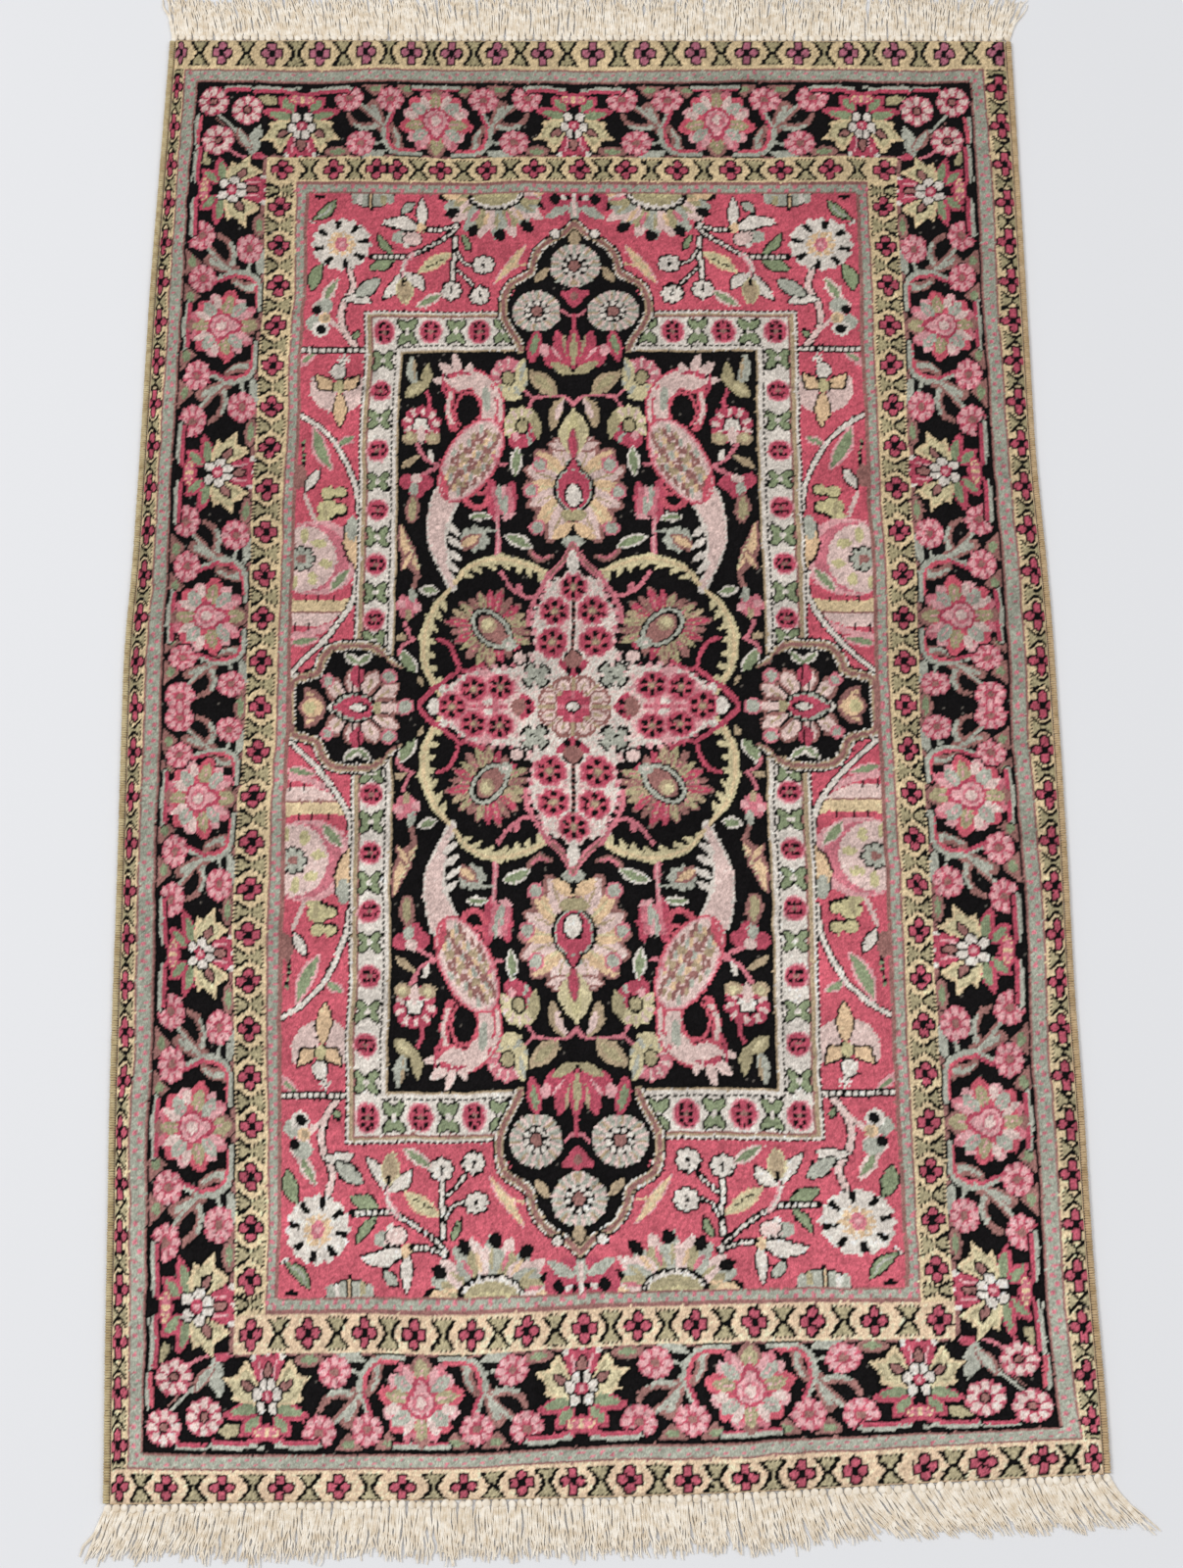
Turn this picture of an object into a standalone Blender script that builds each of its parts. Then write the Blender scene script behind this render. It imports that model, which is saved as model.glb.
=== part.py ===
"""A Kayseri rug lying flat on the floor.

A knotted body, an overcast cord down each long side, and a knotted fringe at each end.
Metres, +Z up, +Y towards the far fringe. The origin is on the underside, at the middle of
the nominal rectangle.
"""

import math

import bmesh
import bpy
import numpy as np

OBJECT_NAME = "kayseri_rug"

# The nominal rug is 3 by 5 feet, measured over the side cords and between the fringes.
HALF_WIDTH = 0.4575
FAR_END = 0.7585
NEAR_END = -0.7685
BODY_HEIGHT = 0.006
GAP = 0.0003

# How far each long side stands outside the nominal line, along the rug.
SIDE_COLUMNS = ("y", "left_out", "right_out")
SIDE_DRIFT = (
    (0.758, 0.0005, -0.0025),
    (0.600, 0.0050, -0.0030),
    (0.460, 0.0090, -0.0040),
    (0.260, 0.0110, -0.0055),
    (0.130, 0.0130, -0.0010),
    (0.060, 0.0170, 0.0000),
    (-0.060, 0.0150, 0.0000),
    (-0.180, 0.0125, -0.0005),
    (-0.300, 0.0110, -0.0025),
    (-0.410, 0.0090, -0.0010),
    (-0.525, 0.0050, -0.0018),
    (-0.600, 0.0030, -0.0010),
    (-0.685, 0.0000, 0.0015),
    (-0.770, -0.0035, 0.0010),
)
SIDE_SOFTNESS = 0.08

# The near end was knotted out of square: its left corner is longer than its right one.
NEAR_COLUMNS = ("x", "y")
NEAR_LINE = (
    (-0.455, -0.7710),
    (0.000, -0.7680),
    (0.150, -0.7635),
    (0.250, -0.7590),
    (0.457, -0.7505),
)
NEAR_SOFTNESS = 0.06

# The pile's surface: a fold line left across the middle, and slow waves from being rolled.
FOLD_Y = -0.012
FOLD_DEPTH = 0.0010
FOLD_HALF_WIDTH = 0.013
# Each wave's height, its turns to the metre across and along, and its phase.
WAVES = (
    (0.00030, 2.1, 1.3, 0.4),
    (0.00022, -3.4, 4.1, 1.9),
    (0.00016, 6.2, 7.3, 3.1),
)
RIM_WIDTH = 0.004
RIM_DROP = 0.0010
BODY_COLUMNS = 24
BODY_ROWS = 36

# The overcast side cords. The section's points are shares of the width outwards and of the
# height, from the rug's side outwards along the floor and back over the top.
CORD_WIDTH = 0.0068
CORD_HEIGHT = 0.0054
CORD_SECTION = (
    (0.00, 0.00),
    (0.78, 0.00),
    (0.97, 0.25),
    (1.00, 0.55),
    (0.84, 0.86),
    (0.52, 1.00),
    (0.00, 0.92),
)
CORD_STATIONS = 40

# The fringes: each knot row is a narrow strip, with one lock of warp threads to a knot.
STRIP_DEPTH = 0.0026
STRIP_HEIGHT = 0.0032
STRIP_INSET = 0.0010
LOCK_ROOT_WIDTH = 0.0048
# A lock's knot, neck, middle and tip: share of its reach, width and height.
LOCK_STEPS = (
    (0.055, 0.0060, 0.0044),
    (0.140, 0.0038, 0.0027),
    (0.540, 0.0048, 0.0022),
    (1.000, 0.0032, 0.0013),
)
LOCK_SWAY = 0.0004
LENGTH_SCATTER = 0.0022
SCATTER_SEED = 5

# Where the tips of the locks lie: swept sideways, and how far out, along each end.
SWEEP_COLUMNS = ("x", "sweep", "reach")
FAR_LOCKS = 116
FAR_SWEEP = (
    (-0.457, -0.006, 0.050),
    (-0.400, -0.012, 0.051),
    (-0.300, -0.010, 0.054),
    (-0.150, -0.003, 0.056),
    (0.000, 0.001, 0.057),
    (0.200, 0.003, 0.056),
    (0.330, 0.003, 0.055),
    (0.420, 0.007, 0.053),
    (0.456, 0.016, 0.047),
)
NEAR_LOCKS = 120
NEAR_SWEEP = (
    (-0.455, -0.017, 0.043),
    (-0.400, -0.010, 0.044),
    (-0.300, -0.004, 0.046),
    (-0.100, 0.001, 0.047),
    (0.100, 0.005, 0.047),
    (0.180, 0.012, 0.045),
    (0.250, 0.032, 0.041),
    (0.310, 0.026, 0.040),
    (0.380, 0.018, 0.043),
    (0.430, 0.026, 0.043),
    (0.457, 0.038, 0.042),
)
SWEEP_SOFTNESS = 0.03

WELD = 1e-6


def linear_colour(hex_code):
    """An sRGB hex colour as linear RGBA."""
    parts = [int(hex_code[i : i + 2], 16) / 255 for i in (1, 3, 5)]
    linear = [p / 12.92 if p <= 0.04045 else ((p + 0.055) / 1.055) ** 2.4 for p in parts]
    return (*linear, 1.0)


def make_material(name, hex_code, roughness):
    material = bpy.data.materials.new(name)
    material.use_nodes = True
    shader = material.node_tree.nodes["Principled BSDF"]
    shader.inputs["Base Color"].default_value = linear_colour(hex_code)
    shader.inputs["Roughness"].default_value = roughness
    shader.inputs["Metallic"].default_value = 0.0
    material.diffuse_color = linear_colour(hex_code)
    return material


def read_table(rows, columns, column, place, softness):
    """A column of a table at one place, with the corners between its rows softened."""
    table = sorted(rows)
    places = [row[0] for row in table]
    values = [row[columns.index(column)] for row in table]
    around = np.linspace(place - softness / 2, place + softness / 2, 9)
    return float(np.interp(around, places, values).mean())


def left_side(y):
    return -HALF_WIDTH - read_table(SIDE_DRIFT, SIDE_COLUMNS, "left_out", y, SIDE_SOFTNESS)


def right_side(y):
    return HALF_WIDTH + read_table(SIDE_DRIFT, SIDE_COLUMNS, "right_out", y, SIDE_SOFTNESS)


def near_end(x):
    return read_table(NEAR_LINE, NEAR_COLUMNS, "y", x, NEAR_SOFTNESS)


def far_end(_x):
    return FAR_END


def pile_height(x, y):
    """The height of the pile's surface, with its waves and the fold line."""
    height = BODY_HEIGHT
    for size, across, along, phase in WAVES:
        height += size * math.sin(2 * math.pi * (across * x + along * y) + phase)
    return height - FOLD_DEPTH * math.exp(-(((y - FOLD_Y) / FOLD_HALF_WIDTH) ** 2))


def body_place(across, along):
    """A point of the body's outline grid, from shares of its width and of its length."""
    inset = CORD_WIDTH + GAP
    y = NEAR_END + (FAR_END - NEAR_END) * along
    x = (1 - across) * (left_side(y) + inset) + across * (right_side(y) - inset)
    y = near_end(x) + (far_end(x) - near_end(x)) * along
    x = (1 - across) * (left_side(y) + inset) + across * (right_side(y) - inset)
    return x, y


def rim_spacing(count, rim_share, extra=()):
    """Even steps from 0 to 1, with a narrow first and last step for the rounded rim."""
    inner = np.linspace(rim_share, 1 - rim_share, count - 1)
    clear = [s for s in inner if all(abs(s - e) > 0.4 * (inner[1] - inner[0]) for e in extra)]
    return sorted([0.0, 1.0, *clear, *extra])


def add_object(name, mesh_tools, material, collection, smooth_angle):
    """Turns a bmesh into a named object with one material."""
    bmesh.ops.recalc_face_normals(mesh_tools, faces=mesh_tools.faces)
    mesh = bpy.data.meshes.new(name)
    mesh_tools.to_mesh(mesh)
    mesh_tools.free()
    mesh.shade_smooth()
    mesh.set_sharp_from_angle(angle=math.radians(smooth_angle))
    mesh.materials.append(material)
    obj = bpy.data.objects.new(name, mesh)
    collection.objects.link(obj)
    return obj


def indexed_grid(columns, rows):
    """A flat grid, and each of its points with its column and row number."""
    grid = bmesh.new()
    made = bmesh.ops.create_grid(grid, x_segments=columns, y_segments=rows, size=0.5)
    numbered = []
    for point in made["verts"]:
        column = round((point.co.x + 0.5) * columns)
        row = round((point.co.y + 0.5) * rows)
        numbered.append((point, column, row))
    return grid, numbered


def make_body(collection):
    """The knotted body: a grid for the pile's surface, drawn down to a flat underside."""
    fold_share = (FOLD_Y - NEAR_END) / (FAR_END - NEAR_END)
    fold_step = FOLD_HALF_WIDTH / (FAR_END - NEAR_END)
    fold_rows = [fold_share + fold_step * k for k in (-2, -1, 0, 1, 2)]
    across = rim_spacing(BODY_COLUMNS, RIM_WIDTH / (2 * HALF_WIDTH))
    along = rim_spacing(BODY_ROWS, RIM_WIDTH / (FAR_END - NEAR_END), fold_rows)
    body, points = indexed_grid(len(across) - 1, len(along) - 1)
    for point, column, row in points:
        x, y = body_place(across[column], along[row])
        on_rim = column in (0, len(across) - 1) or row in (0, len(along) - 1)
        point.co = (x, y, pile_height(x, y) - RIM_DROP * on_rim)
    rim = [edge for edge in body.edges if edge.is_boundary]
    walls = bmesh.ops.extrude_edge_only(body, edges=rim)
    for part in walls["geom"]:
        if isinstance(part, bmesh.types.BMVert):
            part.co.z = 0.0
    bmesh.ops.holes_fill(body, edges=[e for e in body.edges if e.is_boundary], sides=0)
    material = make_material("knotted wool pile", "#b4606c", 0.9)
    return add_object("knotted_body", body, material, collection, 40)


def make_side_cord(name, side_line, outward, hex_code, collection):
    """One overcast cord: its rounded section, swept down the side of the rug."""
    cord, points = indexed_grid(len(CORD_SECTION), CORD_STATIONS)
    for point, corner, station in points:
        out, up = CORD_SECTION[corner % len(CORD_SECTION)]
        share = station / CORD_STATIONS
        end_x = side_line(NEAR_END)
        y = near_end(end_x) + (FAR_END - near_end(end_x)) * share
        x = side_line(y) - outward * CORD_WIDTH * (1 - out)
        point.co = (x, y, CORD_HEIGHT * up)
    bmesh.ops.remove_doubles(cord, verts=cord.verts, dist=WELD)
    bmesh.ops.holes_fill(cord, edges=[e for e in cord.edges if e.is_boundary], sides=0)
    material = make_material(name + " cotton overcasting", hex_code, 0.85)
    return add_object(name, cord, material, collection, 50)


def lock_centres(first, last, count):
    pitch = (last - first) / count
    return [first + pitch * (i + 0.5) for i in range(count)]


def make_fringe(name, end_line, outward, locks, sweep_rows, collection):
    """One end's knot row as a strip, with each lock drawn out of it face by face."""
    end_y = end_line(0.0)
    centres = lock_centres(left_side(end_y) + STRIP_INSET, right_side(end_y) - STRIP_INSET, locks)
    pitch = centres[1] - centres[0]
    stations = []
    for centre in centres:
        stations += [centre - LOCK_ROOT_WIDTH / 2, centre + LOCK_ROOT_WIDTH / 2]
    stations = [centres[0] - pitch / 2, *stations, centres[-1] + pitch / 2]
    section = ((0.0, 0.0), (STRIP_DEPTH, 0.0), (STRIP_DEPTH, STRIP_HEIGHT), (0.0, STRIP_HEIGHT))
    fringe, points = indexed_grid(len(section), len(stations) - 1)
    for point, corner, station in points:
        out, up = section[corner % len(section)]
        x = stations[station]
        point.co = (x, end_line(x) + outward * (GAP + out), up)
    bmesh.ops.remove_doubles(fringe, verts=fringe.verts, dist=WELD)
    bmesh.ops.holes_fill(fringe, edges=[e for e in fringe.edges if e.is_boundary], sides=0)
    bmesh.ops.recalc_face_normals(fringe, faces=fringe.faces)

    def front_of(centre):
        """The strip's outer face at this lock."""
        for face in fringe.faces:
            middle = face.calc_center_median()
            if abs(middle.x - centre) < LOCK_ROOT_WIDTH / 4 and face.normal.y * outward > 0.9:
                return face
        raise ValueError("no strip face for the lock at %.4f" % centre)

    scatter = np.random.default_rng(SCATTER_SEED)
    fronts = [front_of(centre) for centre in centres]
    for centre, front in zip(centres, fronts):
        sweep = read_table(sweep_rows, SWEEP_COLUMNS, "sweep", centre, SWEEP_SOFTNESS)
        reach = read_table(sweep_rows, SWEEP_COLUMNS, "reach", centre, SWEEP_SOFTNESS)
        reach += LENGTH_SCATTER * scatter.uniform(-1, 1)
        root_y = end_line(centre) + outward * (GAP + STRIP_DEPTH)
        middle_x = centre
        for along, width, height in LOCK_STEPS:
            front = bmesh.ops.extrude_discrete_faces(fringe, faces=[front])["faces"][0]
            next_x = centre + sweep * along**1.3 + LOCK_SWAY * scatter.uniform(-1, 1)
            next_y = root_y + outward * reach * along
            for corner in front.verts:
                side = math.copysign(width / 2, corner.co.x - middle_x)
                top = height if corner.co.z > 0.0005 else 0.0
                corner.co = (next_x + side, next_y, top)
            middle_x = next_x
    material = make_material(name + " cotton warp", "#efe4d0", 0.9)
    return add_object(name, fringe, material, collection, 60)


def main():
    for obj in list(bpy.data.objects):
        bpy.data.objects.remove(obj, do_unlink=True)
    collection = bpy.data.collections.new(OBJECT_NAME)
    bpy.context.scene.collection.children.link(collection)
    make_body(collection)
    make_side_cord("selvedge_left", left_side, -1, "#c9b98e", collection)
    make_side_cord("selvedge_right", right_side, 1, "#c9a878", collection)
    make_fringe("fringe_far", far_end, 1, FAR_LOCKS, FAR_SWEEP, collection)
    make_fringe("fringe_near", near_end, -1, NEAR_LOCKS, NEAR_SWEEP, collection)


main()
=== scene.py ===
"""A hand-knotted wool rug with a medallion panel, seven borders and knotted cotton fringes."""
import math

import bpy
import numpy as np
from mathutils import Euler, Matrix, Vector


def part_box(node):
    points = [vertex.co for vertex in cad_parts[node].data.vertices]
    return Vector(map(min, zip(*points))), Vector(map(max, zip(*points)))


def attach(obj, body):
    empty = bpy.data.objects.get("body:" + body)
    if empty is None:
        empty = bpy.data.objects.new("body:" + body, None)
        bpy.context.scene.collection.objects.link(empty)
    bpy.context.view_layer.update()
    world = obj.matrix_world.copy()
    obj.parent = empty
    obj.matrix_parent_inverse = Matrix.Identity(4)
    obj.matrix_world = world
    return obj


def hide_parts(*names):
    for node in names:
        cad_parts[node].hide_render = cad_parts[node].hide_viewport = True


bl_info = {
    "name": "Knotted medallion rug",
    "version": (1, 0, 0),
    "blender": (4, 5, 0),
    "location": "3D View > Sidebar > Rug",
    "description": "Dresses a hand-knotted rug: wool pile, overcast edges and knotted fringes",
    "category": "Object",
}

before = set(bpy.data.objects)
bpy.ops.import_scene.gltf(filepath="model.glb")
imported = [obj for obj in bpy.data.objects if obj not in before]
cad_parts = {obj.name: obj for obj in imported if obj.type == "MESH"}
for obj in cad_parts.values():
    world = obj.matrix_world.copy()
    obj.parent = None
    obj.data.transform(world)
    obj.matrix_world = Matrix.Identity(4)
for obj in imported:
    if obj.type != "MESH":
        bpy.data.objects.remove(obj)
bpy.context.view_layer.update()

HALF_CHART_WIDTH = 455.5
HALF_CHART_LENGTH = 763.0
QUARTER_COLUMNS = 224
QUARTER_ROWS = 372

# The quarter's lines, in millimetres from the middle.
X_FIELD, X_STRIPE_IN, X_GUARD_IN, X_BLACK, X_STRIPE_OUT = 289.0, 304.0, 334.0, 416.0, 434.0
Y_FIELD, Y_STRIPE_IN, Y_GUARD_IN, Y_BLACK, Y_STRIPE_OUT = 576.0, 590.0, 624.0, 713.0, 729.0

# The middle lines of the guards, the border and the frame, and the pitch of what repeats along them.
X_OUTER, X_INNER, X_BORDER, X_FRAME = 446.3, 319, 375, 204.5
Y_OUTER, Y_INNER, Y_BORDER, Y_FRAME = 746.5, 607, 668.5, 412
OUTER_PITCH, INNER_PITCH, FRAME_PITCH = 47.2, 46.7, 51.5
DASH_PITCH, FRAME_DASH = 8.3, 6.1

INKS = {
    "black": "#151314",
    "rose": "#d36070",
    "raspberry": "#c05266",
    "pink": "#d57c88",
    "light_pink": "#e5a8ab",
    "blush": "#e6c8c0",
    "ivory": "#e4dacf",
    "cream": "#e3caa0",
    "peach_cream": "#e9c9a6",
    "olive": "#b1a580",
    "cream_olive": "#cdc293",
    "sage": "#8f9b78",
    "slate": "#b3b4a6",
    "stripe": "#a9ab9b",
    "mauve": "#a0706a",
    "tan": "#b7a182",
    "gold": "#d5c89e",
    "peach": "#e7c49c",
    "berry": "#bf576a",
    "plum": "#b86e80",
}
INK_NUMBER = {name: k for k, name in enumerate(INKS)}
BLANK = -1


def smooth_path(points, steps=8):
    """A curve through the points, as a fine polyline."""
    pts = np.array(points, float)
    if len(pts) < 3:
        return pts
    ext = np.vstack([2 * pts[0] - pts[1], pts, 2 * pts[-1] - pts[-2]])
    out = []
    for i in range(1, len(ext) - 2):
        a, b, c, d = ext[i - 1 : i + 3]
        square, cube = 2 * a - 5 * b + 4 * c - d, 3 * b - a - 3 * c + d
        for t in np.linspace(0, 1, steps, endpoint=False):
            out.append(0.5 * (2 * b + (c - a) * t + square * t**2 + cube * t**3))
    out.append(pts[-1])
    return np.array(out)


def ring_point(u, v, turn, across, along=None):
    """The place this far from (u, v), turned in degrees from +v towards +u."""
    a = math.radians(turn)
    return u + across * math.sin(a), v + (across if along is None else along) * math.cos(a)


class Patch:
    """A window of knots in a motif's own axes, in millimetres."""

    def __init__(self, u, v):
        self.u, self.v = u, v
        self.ink = np.full(u.shape, BLANK, np.int8)

    def put(self, where, ink):
        self.ink[where] = INK_NUMBER[ink]

    def polar(self, u, v, squash=1.0):
        du, dv = self.u - u, (self.v - v) / squash
        return np.hypot(du, dv), np.arctan2(du, dv)

    def dot(self, u, v, r, ink, long=None, turn=0.0):
        c, s = math.cos(math.radians(turn)), math.sin(math.radians(turn))
        du, dv = self.u - u, self.v - v
        a, b = du * c + dv * s, -du * s + dv * c
        self.put((a / r) ** 2 + (b / (long or r)) ** 2 < 1, ink)

    def dots(self, u, v, *sizes, turn=0.0):
        """Dots about one middle, each a radius, an ink and perhaps a length."""
        for size in sizes:
            self.dot(u, v, *size, turn=turn)

    def flower(self, u, v, r, count, ink, depth=0.16, turn=0.0, squash=1.0):
        """A disc with a scalloped edge."""
        rad, ang = self.polar(u, v, squash)
        edge = r * (1 - depth * (1 - abs(np.cos(count * (ang - math.radians(turn)) / 2))))
        self.put(rad < edge, ink)

    def rays(self, u, v, r_in, r_out, count, share, ink, turn=0.0, squash=1.0):
        """Spokes, each a share of its turn wide."""
        rad, ang = self.polar(u, v, squash)
        phase = (count * (ang - math.radians(turn)) / (2 * math.pi) + 0.5) % 1 - 0.5
        self.put((rad > r_in) & (rad < r_out) & (abs(phase) < share / 2), ink)

    def beads(self, u, v, ring, r, count, ink, turn=0.0, squash=1.0, long=None):
        for k in range(count):
            a = math.radians(turn) + 2 * math.pi * k / count
            at = (u + ring * math.sin(a), v + ring * math.cos(a) * squash)
            self.dot(*at, r, ink, long, -math.degrees(a))

    def leaf(self, start, end, width, ink, bend=0.0, blunt=0.8):
        (u0, v0), (u1, v1) = start, end
        length = math.hypot(u1 - u0, v1 - v0)
        a, b = (u1 - u0) / length, (v1 - v0) / length
        t = ((self.u - u0) * a + (self.v - v0) * b) / length
        s = (self.v - v0) * a - (self.u - u0) * b
        inside = (t > 0) & (t < 1)
        bulge = np.sin(math.pi * np.clip(t, 0, 1))
        self.put(inside & (abs(s - bend * bulge) < width / 2 * bulge**blunt), ink)

    def petal(self, u, v, turn, near, far, width, ink, blunt=0.8):
        """A leaf that stands out from a middle."""
        self.leaf(ring_point(u, v, turn, near), ring_point(u, v, turn, far), width, ink, blunt=blunt)

    def line(self, points, width, ink, speck=None, pitch=8.0, end_width=None):
        """A stroke along a curve, with a second ink set into it every pitch."""
        path = smooth_path(points)
        seg = np.diff(path, axis=0)
        lens = np.hypot(seg[:, 0], seg[:, 1])
        start = np.concatenate([[0], np.cumsum(lens)])
        near = np.full(self.u.shape, 1e9)
        along = np.zeros(self.u.shape)
        for (pu, pv), (du, dv), n, s0 in zip(path[:-1], seg, lens, start):
            t = np.clip(((self.u - pu) * du + (self.v - pv) * dv) / max(n * n, 1e-9), 0, 1)
            d = np.hypot(self.u - pu - t * du, self.v - pv - t * dv)
            closer = d < near
            near[closer] = d[closer]
            along[closer] = (s0 + t * n)[closer]
        w = width if end_width is None else width + (end_width - width) * along / start[-1]
        self.put(near < w / 2, ink)
        if speck:
            self.put((near < w / 2) & ((along / pitch) % 1 < 0.34), speck)

    def strokes(self, points, *passes):
        """One curve drawn over and over, each pass a width, an ink and perhaps a speck and its pitch."""
        for one in passes:
            self.line(points, *one)

    def shape(self, points, ink):
        """A filled outline."""
        inside = np.zeros(self.u.shape, bool)
        for (u0, v0), (u1, v1) in zip(points, [*points[1:], points[0]]):
            if v0 != v1:
                cross = (v0 > self.v) != (v1 > self.v)
                inside ^= cross & (self.u < (u1 - u0) * (self.v - v0) / (v1 - v0) + u0)
        self.put(inside, ink)

    def rim(self, corners=False):
        """Blank knots beside the motif turn black."""
        full = self.ink != BLANK
        grown = full.copy()
        rows, cols = full.shape
        around = np.pad(full, 1)
        for r in range(3):
            for c in range(3):
                if corners or 1 in (r, c):
                    grown |= around[r : r + rows, c : c + cols]
        self.put(grown & ~full, "black")


class Chart:
    """The quarter of the design from its middle (0, 0) out to one corner, or the whole of it."""

    def __init__(self, whole=False):
        step_x = HALF_CHART_WIDTH / QUARTER_COLUMNS
        step_y = HALF_CHART_LENGTH / QUARTER_ROWS
        x = (np.arange(QUARTER_COLUMNS) + 0.5) * step_x
        y = (np.arange(QUARTER_ROWS) + 0.5) * step_y
        if whole:
            x, y = np.concatenate([-x[::-1], x]), np.concatenate([-y[::-1], y])
        self.x, self.y = np.meshgrid(x, y)
        self.xs, self.ys = x, y
        self.ink = np.zeros(self.x.shape, np.int8)

    def fill(self, x0, x1, y0, y1, ink):
        inside = (self.x >= x0) & (self.x < x1) & (self.y >= y0) & (self.y < y1)
        self.ink[inside] = INK_NUMBER[ink]

    def stamp(self, motif, x, y, reach, turn=0, mirror=False, stretch=(1.0, 1.0), inside=None, **options):
        """Paints a motif with its middle here; turn is in degrees, anticlockwise from +y up."""
        cols = np.flatnonzero(abs(self.xs - x) < reach)
        rows = np.flatnonzero(abs(self.ys - y) < reach)
        if not len(cols) or not len(rows):
            return
        box = np.ix_(rows, cols)
        dx, dy = self.x[box] - x, self.y[box] - y
        c, s = math.cos(math.radians(turn)), math.sin(math.radians(turn))
        u, v = dx * c + dy * s, -dx * s + dy * c
        patch = Patch((-u if mirror else u) / stretch[0], v / stretch[1])
        motif(patch, **options)
        painted = patch.ink != BLANK
        if inside is not None:
            x0, x1, y0, y1 = inside
            px, py = self.x[box], self.y[box]
            painted &= (px > x0) & (px < x1) & (py > y0) & (py < y1)
        view = self.ink[box]
        view[painted] = patch.ink[painted]
        self.ink[box] = view


def guard_flower(p, petal="berry", long=1.0):
    """Four petals in a cross, each rimmed in black, about a black slit."""
    for a in range(4):
        s = math.sin(math.pi * a / 2)
        c = math.cos(math.pi * a / 2)
        tall = long if a % 2 == 0 else 1.0
        p.dot(6.9 * s, 7.1 * c * long, 3.8, petal, 4.1 * tall)
    p.rim(corners=True)
    p.dot(0, 0, 2.8, "black", 4.8)


def guard_glass(p, half=10.5, tall=12.5):
    """Two solid triangles that meet at a waist, with a dotted black edge."""
    waist, dot_pitch, shift = 2.2, 4.1, 200
    edge = waist + (abs(p.v) / tall) ** 1.15 * (half - waist)
    inside = abs(p.v) < tall
    p.put(inside & (abs(p.u) < edge), "olive")
    dots = ((abs(p.v) + shift) / dot_pitch) % 1 < 0.82
    p.put(inside & (abs(abs(p.u) - edge) < 2.1) & dots, "black")
    dots = ((p.u + shift) / dot_pitch) % 1 < 0.5
    p.put((abs(abs(p.v) - tall) < 1.1) & (abs(p.u) < half) & dots, "black")


def palmette(p):
    """The border's open palmette; v runs to the field, where its raspberry crown points."""
    for s in (-1, 1):
        p.line([(s * 10, -37), (s * 30, -38.5), (s * 52, -38)], 4.2, "slate")
        p.line([(s * 8, -33), (s * 30, -35), (s * 50, -34)], 4.2, "raspberry")
        p.leaf((s * 6, -8), (s * 24, -29), 15, "raspberry")
        p.leaf((s * 5, -4), (s * 41, -11), 15, "raspberry")
        p.leaf((s * 8, -11), (s * 21, -25), 9, "sage")
        p.leaf((s * 7, -3), (s * 35, -8), 9.5, "sage")
        for ink, petal in (
            ("cream", (
                (8, -2), (24, 0), (35, 4), (31, 10), (43, 24),
                (30, 26), (28, 31), (22, 40), (14, 28), (8, 12),
            )),
            ("gold", (
                (9, 1), (24, 3), (30, 6), (28, 11), (38, 22),
                (28, 23), (25, 29), (21, 34), (15, 24), (9, 12),
            )),
        ):
            p.shape([(s * u, v) for u, v in petal], ink)
        p.line([(s * 24, 5), (s * 31, 12), (s * 34, 19)], 2.2, "olive", "gold", 6)
        p.line([(s * 17, 22), (s * 21, 31)], 2.2, "olive")
        p.leaf((s * 4, 14), (s * 15, 47), 15, "raspberry", bend=s * 3)
    p.leaf((0, 16), (0, 50), 15, "raspberry")
    p.dots(0, -25, (15, "raspberry", 7.5), (13, "peach", 4.6))
    p.beads(0, -25, 8, 2.2, 6, "pink", turn=90, squash=0.35)
    p.rim()
    for s in (-1, 1):
        p.leaf((s * 11, 9), (s * 27, 23), 11, "black")
        p.leaf((s * 13, 11), (s * 25, 21.5), 7, "mauve")
        p.dot(s * 15, 42, 2.4, "ivory", 3.4)
        p.line([(s * 7, 20), (s * 8.5, 38)], 2.1, "light_pink")
    p.dot(0, 46, 3, "ivory", 3.4)
    p.dots(0, 29, (5.4, "black", 10), (3.4, "mauve", 8))
    for size in ((6.4, "black", 7.2), (4.4, "ivory", 5.4)):
        for u, v in ((3.6, 17), (10.5, 9), (6.6, -3)):
            p.dot(-u, v, *size)
            p.dot(u, v, *size)
    p.line([(0, 22), (0, 12)], 2.1, "black")
    p.line([(0, -2), (0, -14)], 2.1, "black")
    p.dots(0, 6.5, (6.2, "raspberry", 5.6), (2.8, "light_pink"))


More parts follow.
